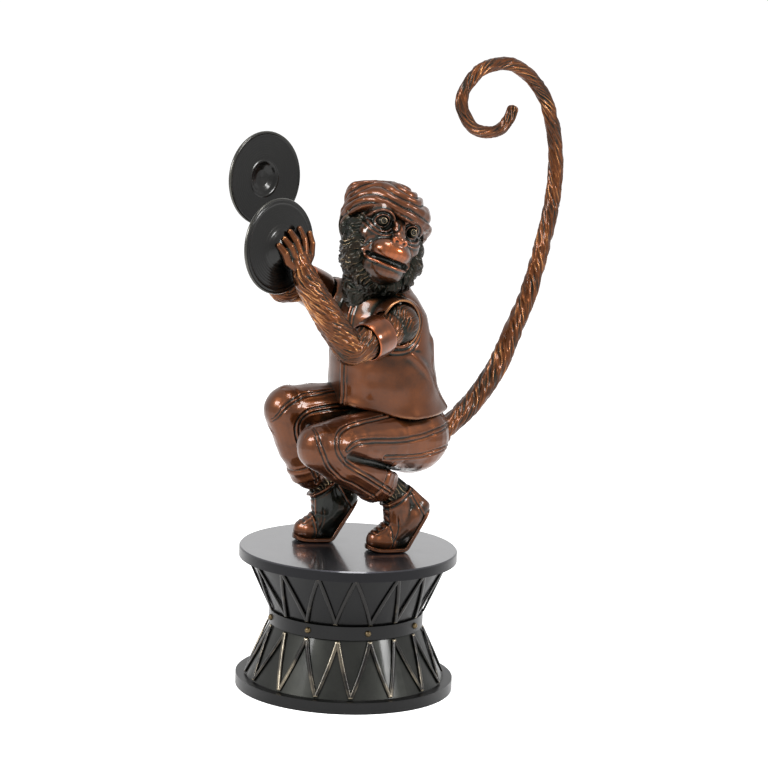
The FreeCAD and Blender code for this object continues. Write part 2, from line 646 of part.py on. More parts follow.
def motor_frame():
    """Two side plates on a deck, tied by pillars and a bridge that guides the crosshead."""
    low = DECK + " + hem_rise"
    deck_body = cylinder("deck_disc", "trunk_half_depth - jacket_wall - 5", "deck_thick", ("0", "38", low))
    keep(deck_body, "motor_deck")
    foot = low + " + deck_thick"
    span = ("frame_wall", "frame_depth", FRAME_HEIGHT)
    for side, x in (("left", "frame_half - frame_wall"), ("right", "-frame_half")):
        plate = block(side + "_plate_body", span, (x, "frame_front", foot))
        holes = [cylinder(side + "_winding_hole", "arbor_radius + fit_gap", "frame_wall",
                          (x, "winding_y", DECK + " + winding_rise"), "x"),
                 cylinder(side + "_cam_hole", "cam_arbor_radius + fit_gap", "frame_wall",
                          (x, CAM_Y, DECK + " + " + CAM_RISE), "x")]
        for spot, (y, rise) in enumerate(PILLARS):
            holes.append(cylinder("%s_pillar_hole_%d" % (side, spot), "pillar_radius", "frame_wall",
                                  (x, y, foot + " + " + rise), "x"))
        keep(without(side + "_plate_cut", plate, holes), side + "_plate")
    pillars = [cylinder("pillar_%d" % spot, "pillar_radius", "2 * frame_half",
                        ("-frame_half", y, foot + " + " + rise), "x")
               for spot, (y, rise) in enumerate(PILLARS)]
    group = doc.addObject("Part::Compound", "pillar_group")
    group.Links = pillars
    keep(group, "frame_pillars")


PILLARS = [("frame_front + 5", "6"), ("frame_front + 5", "28"),
           ("frame_front + frame_depth - 5", FRAME_HEIGHT + " - 6")]
CAM_Y = "winding_y - ((wheel_teeth + pinion_teeth) * tooth_module / 2 + mesh_gap) * cos(train_angle)"
CAM_RISE = "winding_rise + ((wheel_teeth + pinion_teeth) * tooth_module / 2 + mesh_gap) * sin(train_angle)"


def train_spots():
    """Middle of the winding arbor and of the cam arbor, seen along x."""
    apart = (size("wheel_teeth") + size("pinion_teeth")) * size("tooth_module") / 2 + size("mesh_gap")
    angle = math.radians(size("train_angle"))
    winding = Vector(0, size("winding_y"), deck + size("winding_rise"))
    return winding, winding + Vector(0, -apart * math.cos(angle), apart * math.sin(angle))


def gear_outline(teeth, module, phase):
    """A gear's outline across its axis, with straight-sided teeth. One tooth points along the phase."""
    pitch = teeth * module / 2
    step = 2 * math.pi / teeth
    spots = []
    for tooth in range(teeth):
        middle = phase + tooth * step
        for radius, share in ((pitch - 1.25 * module, -0.31), (pitch, -0.21), (pitch + 0.85 * module, -0.1),
                              (pitch + 0.85 * module, 0.1), (pitch, 0.21), (pitch - 1.25 * module, 0.31)):
            angle = middle + share * step
            spots.append(Vector(0, radius * math.cos(angle), radius * math.sin(angle)))
    return Part.Face(Part.makePolygon(spots + [spots[0]]))


def train_pieces():
    winding, cam = train_spots()
    thick, module = size("wheel_thick"), size("tooth_module")
    arbor_hole = size("arbor_radius") + size("fit_gap")
    wheel_teeth, pinion_teeth = int(size("wheel_teeth")), int(size("pinion_teeth"))
    toward = math.pi - math.radians(size("train_angle"))
    plane = -size("frame_half") + size("frame_wall") + 1
    wheel = gear_outline(wheel_teeth, module, toward).extrude(Vector(thick, 0, 0))
    wheel.translate(winding + Vector(plane, 0, 0))
    start = winding + Vector(plane, 0, 0)
    drum = Part.makeCylinder(size("barrel_radius"), thick + size("barrel_width"), start, Vector(1, 0, 0))
    room = Part.makeCylinder(size("barrel_radius") - size("barrel_wall"), size("barrel_width"),
                             start + Vector(thick, 0, 0), Vector(1, 0, 0))
    hole = Part.makeCylinder(arbor_hole, 40, start - Vector(5, 0, 0), Vector(1, 0, 0))
    shaped("great_wheel", wheel.fuse(drum).cut([room, hole]))
    shaped("mainspring", mainspring(start + Vector(thick, 0, 0)))
    gap_phase = toward + math.pi + math.pi / pinion_teeth
    pinion = gear_outline(pinion_teeth, module, gap_phase).extrude(Vector(thick, 0, 0))
    pinion.translate(cam + Vector(plane, 0, 0))
    rod = Part.makeCylinder(size("cam_arbor_radius"), 2 * size("frame_half") + 2,
                            cam - Vector(size("frame_half") + 1, 0, 0), Vector(1, 0, 0))
    shaped("cam_pinion", pinion.cut(rod))
    shaped("cam_arbor", rod)
    shaped("clap_cam", clap_cam(cam).cut(rod))


def mainspring(start):
    """A flat spring coiled from the arbor out to the barrel's wall."""
    turns = int(size("spring_turns"))
    first = size("arbor_radius") + 1
    last = size("barrel_radius") - size("barrel_wall") - size("spring_thick")
    steps = 24 * turns
    inner, outer = [], []
    for step in range(steps + 1):
        angle = 2 * math.pi * step / 24
        radius = first + (last - first) * step / steps
        inner.append(Vector(0, radius * math.cos(angle), radius * math.sin(angle)))
        radius += size("spring_thick")
        outer.append(Vector(0, radius * math.cos(angle), radius * math.sin(angle)))
    ribbon = Part.Face(Part.makePolygon(inner + outer[::-1] + [inner[0]]))
    coil = ribbon.extrude(Vector(size("barrel_width") - 1, 0, 0))
    coil.translate(start + Vector(0.2, 0, 0))
    return coil


def clap_cam(cam):
    """Four lobes: each opens the arms, and each gap between them lets the arms clap."""
    tip = size("cam_tip_radius")
    stroke = size("crank_reach") * math.radians(size("clap_angle"))
    valley = tip - stroke - 0.6
    spots = []
    for lobe in range(4):
        middle = math.pi / 4 + lobe * math.pi / 2
        for radius, turn in ((valley, -0.42), (tip, -0.12), (tip, 0.12), (valley, 0.42)):
            spots.append(Vector(0, radius * math.cos(middle + turn), radius * math.sin(middle + turn)))
    body = Part.Face(Part.makePolygon(spots + [spots[0]])).extrude(Vector(size("cam_width"), 0, 0))
    body.translate(cam - Vector(size("cam_width") / 2, 0, 0))
    return body


def crosshead_pieces():
    """A sliding head on the bridge. Both cranks' pins ride in its slots, and its blade meets the cam."""
    winding, cam = train_spots()
    y = size("shoulder_y")
    slide_mid = deck + (size("left_rise") + size("right_rise")) / 2
    thick = size("head_thick")
    rail, gap = size("rail_half"), size("slide_gap")
    top = slide_mid - thick / 2 - size("foot_height") - gap
    low = top - size("bridge_thick")
    pin = size("pin_radius") + 2 * size("fit_gap")
    reach = size("shoulder_half") - size("crank_reach")
    end = pin + 2.8
    plate = Part.makeBox(2 * (reach + end), 12, thick, Vector(-reach - end, y - 6, slide_mid - thick / 2))
    foot = Part.makeBox(2 * rail, 26, size("foot_height"), Vector(-rail, y - 6, top + gap))
    face = cam.y - size("cam_tip_radius") - size("cam_gap")
    wide, pad_high, pad_long = size("cam_width"), size("pad_height"), size("pad_length")
    front_face = face - pad_long - size("blade_thick")
    blade = Part.makeBox(wide, size("blade_thick"), top + gap + 1 - cam.z + pad_high / 2,
                         Vector(-wide / 2, front_face, cam.z - pad_high / 2))
    pad = Part.makeBox(wide, pad_long, pad_high, Vector(-wide / 2, face - pad_long, cam.z - pad_high / 2))
    slots = []
    for way in (1, -1):
        slot = Part.makeBox(2, 2 * pin, thick, Vector(way * reach - 1, y - pin, slide_mid - thick / 2))
        ends = [Part.makeCylinder(pin, thick, Vector(way * reach + side, y, slide_mid - thick / 2))
                for side in (1, -1)]
        slots.append(slot.multiFuse(ends))
    shaped("crosshead", plate.multiFuse([foot, blade, pad]).cut(slots))
    half, front, depth = size("frame_half"), size("frame_front"), size("frame_depth")
    bridge = Part.makeBox(2 * half, depth, size("bridge_thick"), Vector(-half, front, low))
    stroke = size("crank_reach") * math.radians(size("clap_angle"))
    back = size("crank_reach") * math.radians(size("open_angle"))
    opening = Part.makeBox(wide + 2 * size("seat_gap"), face - front_face + stroke + back + 2, 20,
                           Vector(-wide / 2 - size("seat_gap"), front_face - back - 1, low - 5))
    rails = [Part.makeBox(size("rail_wall"), 40, 5,
                          Vector(rail + gap if way > 0 else -rail - gap - size("rail_wall"), front, top))
             for way in (1, -1)]
    shaped("crosshead_bridge", bridge.multiFuse(rails).cut(opening))


def winding_pieces():
    winding, cam = train_spots()
    inner = size("frame_half") - size("frame_wall")
    side = -size("trunk_half_width") - 0.5
    hub = size("hub_length")
    arbor = Part.makeCylinder(size("arbor_radius"), size("frame_half") + 1 - side + hub - 4,
                              winding + Vector(side - hub + 4, 0, 0), Vector(1, 0, 0))
    shaped("winding_arbor", arbor)
    barrel = Part.makeCylinder(size("hub_radius"), hub, winding + Vector(side - hub, 0, 0), Vector(1, 0, 0))
    span, length, thick = size("key_span"), size("key_length"), size("key_thick")
    wing_x = side - hub - length / 2 + 3
    wing = Part.makeBox(length, span, thick, Vector(wing_x - length / 2, winding.y - span / 2,
                                                    winding.z - thick / 2))
    holes = [Part.makeCylinder(length / 4, 2 * thick, Vector(wing_x - 1, winding.y + way * span / 3.6,
                                                             winding.z - thick)) for way in (1, -1)]
    shaped("winding_key", barrel.fuse(wing).cut(holes + [arbor]))
    teeth = int(size("ratchet_teeth"))
    spots = []
    for tooth in range(teeth):
        angle = 2 * math.pi * tooth / teeth
        for radius, turn in ((size("ratchet_radius"), 0), (size("ratchet_radius") - 1.5, 0.06)):
            spots.append(Vector(0, radius * math.cos(angle + turn), radius * math.sin(angle + turn)))
    ratchet = Part.Face(Part.makePolygon(spots + [spots[0]])).extrude(Vector(2.5, 0, 0))
    ratchet.translate(winding + Vector(inner - 4, 0, 0))
    shaped("ratchet_wheel", ratchet.cut(arbor))
    post = winding + Vector(inner - 4.2, 0, size("ratchet_radius") + 6)
    pivot = Part.makeCylinder(1.5, 4.2, post, Vector(1, 0, 0))
    lever = Part.makeBox(2.5, 12, 3, Vector(post.x + 0.2, post.y - 1.5, post.z - 5.6))
    lever = lever.fuse(Part.makeCylinder(4, 2.5, post + Vector(0.2, 0, 0), Vector(1, 0, 0)))
    shaped("ratchet_click", pivot.fuse(lever))


def build():
    base_pieces()
    drum_shell("drum_lower_shell", SHELL, "waist_radius", "lower_height", "base_height")
    waist_band()
    drum_shell("drum_upper_shell", "waist_radius", SHELL, "upper_height",
               "base_height + lower_height + band_height")
    top_plate()
    fasteners()
    band_studs()
    wide, narrow = size("drum_radius") - size("shell_step"), size("waist_radius")
    lower, upper = size("lower_height"), size("upper_height")
    # both zigzags have a point at every stud and one midway
    lacing("lower_lacing", wide, narrow, size("base_height"), lower, size("stud_turn") / 2)
    lacing("upper_lacing", narrow, wide, size("base_height") + lower + size("band_height"), upper, 0)
    trunk = jacket_pieces()
    seat = Part.makeSphere(size("seat_radius"), Vector(0, 72, deck + 108.6)).cut(trunk)
    for side in ("left", "right"):
        leg(side, trunk, seat)
    shaped("seat", seat)
    head_pieces()
    tail_pieces(seat)
    for side in ("left", "right"):
        arm(side)
    motor_frame()
    train_pieces()
    crosshead_pieces()
    winding_pieces()


def check_and_write():
    doc.recompute()
    for piece in doc.Objects:
        if "Invalid" in piece.State or "Error" in piece.State:
            raise RuntimeError("%s failed: %s" % (piece.Label, piece.State))
    os.makedirs("parts", exist_ok=True)
    for piece in NODES:
        shape = piece.Shape
        if shape.isNull() or not shape.isValid() or not shape.Solids:
            raise RuntimeError("%s has no valid solid" % piece.Label)
        shape.exportStep("parts/%s.step" % piece.Label)
        print("%-20s %2d solids %10.1f mm3" % (piece.Label, len(shape.Solids), shape.Volume))


build()
check_and_write()
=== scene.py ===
import bpy
import json
import math
import numpy as np
from mathutils import Euler, Matrix, Vector, noise


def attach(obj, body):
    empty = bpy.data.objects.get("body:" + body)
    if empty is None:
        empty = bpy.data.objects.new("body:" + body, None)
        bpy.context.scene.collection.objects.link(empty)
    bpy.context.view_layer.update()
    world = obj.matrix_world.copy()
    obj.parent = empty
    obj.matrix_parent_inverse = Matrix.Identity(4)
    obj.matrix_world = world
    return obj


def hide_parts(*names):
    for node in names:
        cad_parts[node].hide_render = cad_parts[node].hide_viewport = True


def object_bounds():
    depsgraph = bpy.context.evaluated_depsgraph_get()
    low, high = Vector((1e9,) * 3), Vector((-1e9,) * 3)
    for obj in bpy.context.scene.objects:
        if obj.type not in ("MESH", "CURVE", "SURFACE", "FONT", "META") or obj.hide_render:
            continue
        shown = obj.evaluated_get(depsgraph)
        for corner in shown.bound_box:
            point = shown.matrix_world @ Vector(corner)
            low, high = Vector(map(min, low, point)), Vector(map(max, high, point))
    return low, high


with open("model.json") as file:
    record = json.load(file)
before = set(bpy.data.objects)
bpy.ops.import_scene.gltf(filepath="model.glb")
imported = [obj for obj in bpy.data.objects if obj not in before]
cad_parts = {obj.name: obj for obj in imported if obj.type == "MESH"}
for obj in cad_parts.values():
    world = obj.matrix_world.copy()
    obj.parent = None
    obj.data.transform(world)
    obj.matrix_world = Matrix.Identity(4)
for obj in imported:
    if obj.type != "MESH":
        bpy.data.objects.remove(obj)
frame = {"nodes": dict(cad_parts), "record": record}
cadLow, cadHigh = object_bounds()
mm = 0.001


# small helpers

def onlySelect(*pieces):
    if bpy.context.mode != "OBJECT":
        bpy.ops.object.mode_set(mode="OBJECT")
    bpy.ops.object.select_all(action="DESELECT")
    for piece in pieces:
        piece.select_set(True)
    bpy.context.view_layer.objects.active = pieces[0]


def newPiece(name):
    piece = bpy.context.object
    piece.name = name
    piece.data.name = name
    return piece


def settle(piece):
    onlySelect(piece)
    bpy.ops.object.transform_apply(location=True, rotation=True, scale=True)
    return piece


def useModifier(piece, kind, **settings):
    onlySelect(piece)
    modifier = piece.modifiers.new(kind.title(), kind)
    for name, value in settings.items():
        setattr(modifier, name, value)
    bpy.ops.object.modifier_apply(modifier=modifier.name)
    return piece


def joinAll(pieces, name):
    onlySelect(*pieces)
    bpy.ops.object.join()
    piece = newPiece(name)
    return settle(piece)


def ball(x, y, z, radius, stretch=(1, 1, 1), turn=(0, 0, 0)):
    bpy.ops.mesh.primitive_uv_sphere_add(segments=24, ring_count=14, radius=radius * mm,
                                         location=(x * mm, y * mm, z * mm))
    piece = bpy.context.object
    piece.scale = stretch
    piece.rotation_euler = [math.radians(angle) for angle in turn]
    return piece


def taper(start, end, firstRadius, lastRadius):
    start, end = Vector(start) * mm, Vector(end) * mm
    way = end - start
    bpy.ops.mesh.primitive_cone_add(vertices=24, radius1=firstRadius * mm, radius2=lastRadius * mm,
                                    depth=way.length, location=(start + end) / 2,
                                    rotation=way.to_track_quat("Z", "Y").to_euler())
    return bpy.context.object


def ballChain(points):
    parts = [ball(*point) for point in points]
    for a, b in zip(points[:-1], points[1:]):
        parts.append(taper(a[:3], b[:3], a[3], b[3]))
    return parts


def castSkin(parts, name, voxel, rounds):
    piece = joinAll(parts, name)
    useModifier(piece, "REMESH", mode="VOXEL", voxel_size=voxel * mm)
    useModifier(piece, "SMOOTH", factor=0.5, iterations=rounds)
    return piece


def readMesh(piece):
    count = len(piece.data.vertices)
    places = np.empty(count * 3)
    normals = np.empty(count * 3)
    piece.data.vertices.foreach_get("co", places)
    piece.data.vertex_normals.foreach_get("vector", normals)
    return places.reshape(-1, 3) / mm, normals.reshape(-1, 3)


def writeMesh(piece, places):
    piece.data.vertices.foreach_set("co", (places * mm).ravel())
    piece.data.update()


def swell(piece, amount):
    places, normals = readMesh(piece)
    writeMesh(piece, places + normals * amount[:, None])


def nearLine(places, line):
    # distance to a run of points, length along it, and the side angle round it
    line = np.array(line, float)[:, :3]
    best = np.full(len(places), 1e9)
    along = np.zeros(len(places))
    around = np.zeros(len(places))
    done = 0.0
    side = None
    for a, b in zip(line[:-1], line[1:]):
        way = b - a
        span = np.linalg.norm(way)
        way = way / span
        if side is None:
            side = np.cross(way, (1, 0, 0) if abs(way[0]) < 0.7 else (0, 1, 0))
        side = side - way * (side @ way)
        side = side / np.linalg.norm(side)
        other = np.cross(way, side)
        t = np.clip((places - a) @ way, 0, span)
        off = places - (a + t[:, None] * way)
        gap = np.linalg.norm(off, axis=1)
        closer = gap < best
        best[closer] = gap[closer]
        along[closer] = done + t[closer]
        around[closer] = np.arctan2(off[closer] @ other, off[closer] @ side)
        done += span
    return best, along, around


def smoothLine(points, steps=8):
    points = np.array(points, float)
    ends = np.vstack([2 * points[0] - points[1], points, 2 * points[-1] - points[-2]])
    out = []
    for k in range(1, len(ends) - 2):
        for step in range(steps):
            t = step / steps
            a, b, c, d = ends[k - 1:k + 3]
            out.append(0.5 * (2 * b + (c - a) * t + (2 * a - 5 * b + 4 * c - d) * t ** 2
                              + (3 * b - a - 3 * c + d) * t ** 3))
    out.append(points[-1])
    return np.array(out)


def bump(distance, width):
    return np.exp(-(distance / width) ** 2)


def squarish(angle, power):
    # across and up on an outline between a circle and a box
    across, up = np.cos(angle), np.sin(angle)
    return np.sign(across) * np.abs(across) ** power, np.sign(up) * np.abs(up) ** power


def smoothStep(value):
    value = np.clip(value, 0, 1)
    return value * value * (3 - 2 * value)


def wander(places, scale, seed=0.0):
    return np.array([noise.noise(Vector((p[0] / scale + seed, p[1] / scale, p[2] / scale)))
                     for p in places])


def ridged(values):
    return 1 - 2 * np.abs(values)


def strands(around, along, across, length, seed):
    # long hair locks: quick change round the limb, slow change along it
    out = np.empty(len(around))
    for k in range(len(out)):
        out[k] = noise.noise(Vector((math.cos(around[k]) * across, math.sin(around[k]) * across,
                                     along[k] / length + seed)))
    return out


def markWear(piece, rounds=(2, 12)):
    # hollows are negative and high places positive, from the mesh's own curvature
    places, normals = readMesh(piece)
    mesh = piece.data
    edges = np.empty(len(mesh.edges) * 2, int)
    mesh.edges.foreach_get("vertices", edges)
    a, b = edges.reshape(-1, 2).T
    count = np.bincount(a, minlength=len(places)) + np.bincount(b, minlength=len(places))
    count = np.maximum(count, 1)

    def blurred(values):
        total = np.bincount(a, values[b], len(values)) + np.bincount(b, values[a], len(values))
        return 0.5 * values + 0.5 * total / count

    result = np.zeros(len(places))
    smooth = places.copy()
    turn = 0
    for level, least in zip(rounds, (0.03, 0.2)):
        while turn < level:
            smooth = np.stack([blurred(smooth[:, axis]) for axis in range(3)], axis=1)
            turn += 1
        lift = ((places - smooth) * normals).sum(1)
        result += np.clip(lift / max(np.percentile(np.abs(lift), 88), least), -2.5, 2.5)
    result = blurred(result) / len(rounds)
    layer = mesh.attributes.new("wear", "FLOAT", "POINT")
    layer.data.foreach_set("value", result)
    return result


def markTint(piece, values):
    layer = piece.data.attributes.new("tint", "FLOAT", "POINT")
    layer.data.foreach_set("value", values)


def dress(piece, body, slotName, material, *nodes):
    piece.data.materials.clear()
    piece.data.materials.append(material)
    onlySelect(piece)
    bpy.ops.object.shade_smooth()
    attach(piece, body)
    if nodes:
        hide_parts(*nodes)
    return piece


# materials

def linear(hexText):
    parts = [int(hexText[k:k + 2], 16) / 255 for k in (0, 2, 4)]
    return [c / 12.92 if c <= 0.04045 else ((c + 0.055) / 1.055) ** 2.4 for c in parts] + [1.0]


def addNode(tree, kind, settings):
    # each value goes to the socket or property of that name, and a socket given as value is linked
    node = tree.nodes.new(kind)
    for name, value in settings.items():
        if isinstance(value, bpy.types.NodeSocket):
            tree.links.new(value, node.inputs[name])
        elif isinstance(name, int) or name in node.inputs:
            node.inputs[name].default_value = value
        else:
            setattr(node, name, value)
    return node


def combine(tree, operation, first, second):
    return addNode(tree, "ShaderNodeMath", {"operation": operation, 0: first, 1: second}).outputs[0]


def spread(tree, source, fromRange, toRange=(0.0, 1.0), kind="LINEAR"):
    return addNode(tree, "ShaderNodeMapRange", {
        "Value": source, "From Min": fromRange[0], "From Max": fromRange[1], "To Min": toRange[0],
        "To Max": toRange[1], "interpolation_type": kind}).outputs[0]


def blend(tree, share, first, second):
    return addNode(tree, "ShaderNodeMix", {"data_type": "RGBA", 0: share, 6: first, 7: second}).outputs[2]


def blankMaterial(name):
    material = bpy.data.materials.new(name)
    material.use_nodes = True
    material.node_tree.nodes.clear()
    return material, material.node_tree


bronzeScale = {"cloud": 0.035, "speck": 0.003, "shade": 0.03}


def castBronze(name, look, coatedTopShadedSide=False):
    # sand or wax cast bronze, chemically browned, rubbed back on the high places and lacquered:
    # dark green-black in the hollows, warm brown on the open faces, bare copper tones on the ridges
    material, tree = blankMaterial(name)
    where = addNode(tree, "ShaderNodeTexCoord", {}).outputs["Object"]
    cloud, speck = [addNode(tree, "ShaderNodeTexNoise", {
        "Scale": 1 / bronzeScale[size], "Detail": detail, "Roughness": rough, "Vector": where}).outputs[0]
        for size, detail, rough in (("cloud", 4.0, 0.6), ("speck", 3.0, 0.5))]
    # ambient occlusion darkens the colour in crevices, under overhangs and between pieces: partly the patina
    # gathered there, partly painted shade
    occlusionShade = addNode(tree, "ShaderNodeAmbientOcclusion", {"samples": 6, "Distance": bronzeScale["shade"]})
    level = spread(tree, cloud, (0.3, 0.7), (-look["drift"], look["drift"]))
    for attribute in ("wear", "tint"):
        worn = addNode(tree, "ShaderNodeAttribute", {"attribute_name": attribute})
        level = combine(tree, "ADD", level, worn.outputs["Fac"])
    level = combine(tree, "ADD", level, spread(tree, occlusionShade.outputs["AO"], (0.25, 0.85), (-look["patinaAndShade"], 0.0)))
    hollow = spread(tree, level, (look["hollowAt"], look["openAt"]), kind="SMOOTHSTEP")
    ridge = spread(tree, level, (look["ridgeAt"], look["bareAt"]), kind="SMOOTHSTEP")
    verdigris = blend(tree, speck, linear(look["hollow"]), linear(look["green"]))
    brown = blend(tree, cloud, linear(look["brown"]), linear(look["warm"]))
    colour = blend(tree, ridge, blend(tree, hollow, verdigris, brown), linear(look["bare"]))
    coat = look["lacquer"]
    if coatedTopShadedSide:
        # only the flat top is polished, the side stays as cast; up-facing faces also take the paler colour
        # and sideways faces the near-black side colour, partly the two finishes and partly a painted
        # reflection on the top and painted shade on the side
        form = addNode(tree, "ShaderNodeNewGeometry", {}).outputs["Normal"]
        upward = addNode(tree, "ShaderNodeSeparateXYZ", {0: form}).outputs[2]
        coat = spread(tree, upward, (0.5, 0.9), (0.1, coat))
        colour = blend(tree, coat, linear(look["side"]), colour)
    rough = spread(tree, level, (look["hollowAt"], look["bareAt"]), (look["dull"], look["bright"]))
    grain = addNode(tree, "ShaderNodeBump",
                    {"Strength": 0.25, "Distance": look["grain"] * mm, "Height": speck})
    shader = addNode(tree, "ShaderNodeBsdfPrincipled", {
        "Base Color": colour, "Metallic": look["metal"], "Roughness": rough, "Normal": grain.outputs[0],
        "Coat Weight": coat, "Coat Roughness": look["polish"]})
    addNode(tree, "ShaderNodeOutputMaterial", {"Surface": shader.outputs[0]})
    return material


# in each look the occlusion strength sets how far crevices and gaps between pieces are darkened, partly
# patina and partly painted shade
chestnutLook = {"hollow": "0b0906", "green": "141a11", "brown": "331a0b", "warm": "6c3a18", "bare": "b88450",
                "hollowAt": -1.4, "openAt": 0.0, "ridgeAt": 1.2, "bareAt": 3.0, "drift": 0.45, "patinaAndShade": 1.6,
                "dull": 0.5, "bright": 0.2, "grain": 0.08, "metal": 0.9, "lacquer": 0.4, "polish": 0.1}
emberLook = dict(chestnutLook, bare="a04e18", ridgeAt=0.5, bareAt=1.8, lacquer=0.7, drift=0.3)
furLook = {"hollow": "090a06", "green": "151d14", "brown": "2c1708", "warm": "6b3812", "bare": "d0935a",
           "hollowAt": -0.8, "openAt": 0.4, "ridgeAt": 0.5, "bareAt": 1.9, "drift": 0.45, "patinaAndShade": 1.3,
           "dull": 0.5, "bright": 0.22, "grain": 0.12, "metal": 0.9, "lacquer": 0.25, "polish": 0.12}
darkFurLook = dict(furLook, brown="17130d", warm="261c12", bare="b49c78", ridgeAt=0.4, bareAt=1.7,
                   lacquer=0.15)
blackLook = {"hollow": "060606", "green": "0b0d0a", "brown": "121110", "warm": "1d1b19", "bare": "6b5c48",
             "hollowAt": -1.5, "openAt": -0.2, "ridgeAt": 1.0, "bareAt": 2.6, "drift": 0.3, "patinaAndShade": 0.9,
             "dull": 0.5, "bright": 0.3, "grain": 0.1, "metal": 0.9, "lacquer": 0.15, "polish": 0.12}
cymbalLook = dict(blackLook, brown="0c0c0b", warm="141311", bare="626058", ridgeAt=1.3, bareAt=3.2, dull=0.36,
                  bright=0.24, lacquer=0.4)
laceLook = dict(blackLook, bare="a89c86", ridgeAt=0.3, bareAt=1.9, drift=0.6, bright=0.24, lacquer=0.3)
shellLook = dict(blackLook, hollow="0a0b09", green="1b1e19", brown="141413", warm="2a2b27", drift=0.9,
                 hollowAt=-1.2,
                 openAt=0.1, patinaAndShade=1.4, lacquer=0.3, dull=0.5, bright=0.34)
rimLook = dict(blackLook, brown="101011", warm="191919", lacquer=0.2)
# the top plate's paler top colour and near-black side colour: partly its two finishes, partly a painted
# reflection on the top and painted shade on the side
topLook = dict(blackLook, brown="37363c", warm="3f3e44", side="0f0f10", lacquer=1.0, dull=0.4,
               bright=0.3, polish=0.1)
studLook = dict(blackLook, brown="4c4130", warm="66573c", bare="b8a075", hollow="14110b", green="1a1a12",
                metal=1.0)

chestnut = castBronze("chestnutPatinaBronze", chestnutLook)
ember = castBronze("rubbedOrangeBronze", emberLook)
furBronze = castBronze("chasedFurBronze", furLook)
darkFur = castBronze("darkFurBronze", darkFurLook)
cymbalBronze = castBronze("blackCymbalBronze", cymbalLook)
laceBronze = castBronze("wornLacingBronze", laceLook)
shellBronze = castBronze("mottledDrumBronze", shellLook)
rimBronze = castBronze("blackRimBronze", rimLook)
topBronze = castBronze("polishedTopPaintedSheen", topLook, True)
studBrass = castBronze("agedStudBrass", studLook)
brass = castBronze("rubbedBrass",
                   dict(studLook, brown="7a5c33", warm="96753f", bare="c9a468", hollow="2a2013",
                                       green="2a2818", lacquer=0.2))
steel = castBronze("plainSteel", dict(studLook, brown="7c7a76", warm="8d8a84", bare="b3b0aa", hollow="33322f",
                                      green="33342f", lacquer=0.0))
print("materials are ready")


# stage, lamps and camera

def whiteRays(tree):
    # one for the rays that the eye and reflections follow, nought for those that light the object
    rays = addNode(tree, "ShaderNodeLightPath", {})
    seen = combine(tree, "MAXIMUM", rays.outputs["Is Camera Ray"], rays.outputs["Is Glossy Ray"])
    return combine(tree, "MAXIMUM", seen, rays.outputs["Is Transmission Ray"])


roomLevel = 0.55


def paleSurface(name):
    # plain pale paper that the eye and reflections see as white, and that keeps the object's shadow
    material, tree = blankMaterial(name)
    shader = addNode(tree, "ShaderNodeBsdfPrincipled", {
        "Base Color": linear("f4f4f4"), "Roughness": 0.9, "Specular IOR Level": 0.1,
        "Emission Color": linear("ffffff"),
        "Emission Strength": combine(tree, "MULTIPLY", whiteRays(tree), roomLevel)})
    addNode(tree, "ShaderNodeOutputMaterial", {"Surface": shader.outputs[0]})
    return material


def makeStage():
    bpy.ops.mesh.primitive_plane_add(size=60, location=(0, 0, 0))
    floor = newPiece("floor")
    floor.data.materials.append(paleSurface("palePaper"))
    world = bpy.data.worlds.new("whiteRoom")
    bpy.context.scene.world = world
    world.use_nodes = True
    tree = world.node_tree
    tree.nodes.clear()
    room, back = [addNode(tree, "ShaderNodeBackground", {"Color": linear("ffffff"), "Strength": strength})
                  for strength in (roomLevel, 1.0)]
    mixed = addNode(tree, "ShaderNodeMixShader", {0: whiteRays(tree), 1: room.outputs[0], 2: back.outputs[0]})
    addNode(tree, "ShaderNodeOutputWorld", {"Surface": mixed.outputs[0]})


def softLamp(name, azimuth, elevation, distance, width, power, aim):
    a, e = math.radians(azimuth), math.radians(elevation)
    spot = Vector((math.sin(a) * math.cos(e), -math.cos(a) * math.cos(e), math.sin(e))) * distance + aim
    bpy.ops.object.light_add(type="AREA", location=spot)
    lamp = bpy.context.object
    lamp.name = name
    lamp.data.size = width
    lamp.data.energy = power
    lamp.rotation_euler = (aim - spot).to_track_quat("-Z", "Y").to_euler()


viewPoint = {"azimuth": 50.0, "elevation": 9.55, "distance": 2.6, "roll": 2.2, "lens": 123.66,
             "aimRight": 0.0293, "aimUp": 0.3056}


def makeCamera():
    a, e = math.radians(viewPoint["azimuth"]), math.radians(viewPoint["elevation"])
    right = Vector((math.cos(a), math.sin(a), 0))
    aim = right * viewPoint["aimRight"] + Vector((0, 0, viewPoint["aimUp"]))
    back = Vector((math.sin(a) * math.cos(e), -math.cos(a) * math.cos(e), math.sin(e)))
    bpy.ops.object.camera_add(location=aim + back * viewPoint["distance"])
    camera = bpy.context.object
    camera.data.lens = viewPoint["lens"]
    camera.data.sensor_width = 36
    camera.data.clip_end = 100
    turn = (-back).to_track_quat("-Z", "Y").to_matrix()
    camera.rotation_euler = (turn @ Matrix.Rotation(math.radians(viewPoint["roll"]), 3, "Z")).to_euler()
    bpy.context.scene.camera = camera


makeStage()
middle = (cadLow + cadHigh) / 2
# turn from the camera, height angle, distance, width and power
lamps = {"leftBox": (-58, 28, 1.7, 0.5, 24), "rightBox": (62, 24, 1.8, 0.4, 18),
         "topBox": (10, 75, 1.8, 0.6, 20)}
for name, (turn, *rest) in lamps.items():
    softLamp(name, viewPoint["azimuth"] + turn, *rest, middle)
makeCamera()
bpy.context.scene.view_settings.view_transform = "Standard"
print("stage, lamps and camera are ready")


# metal on the pieces that keep their own shape

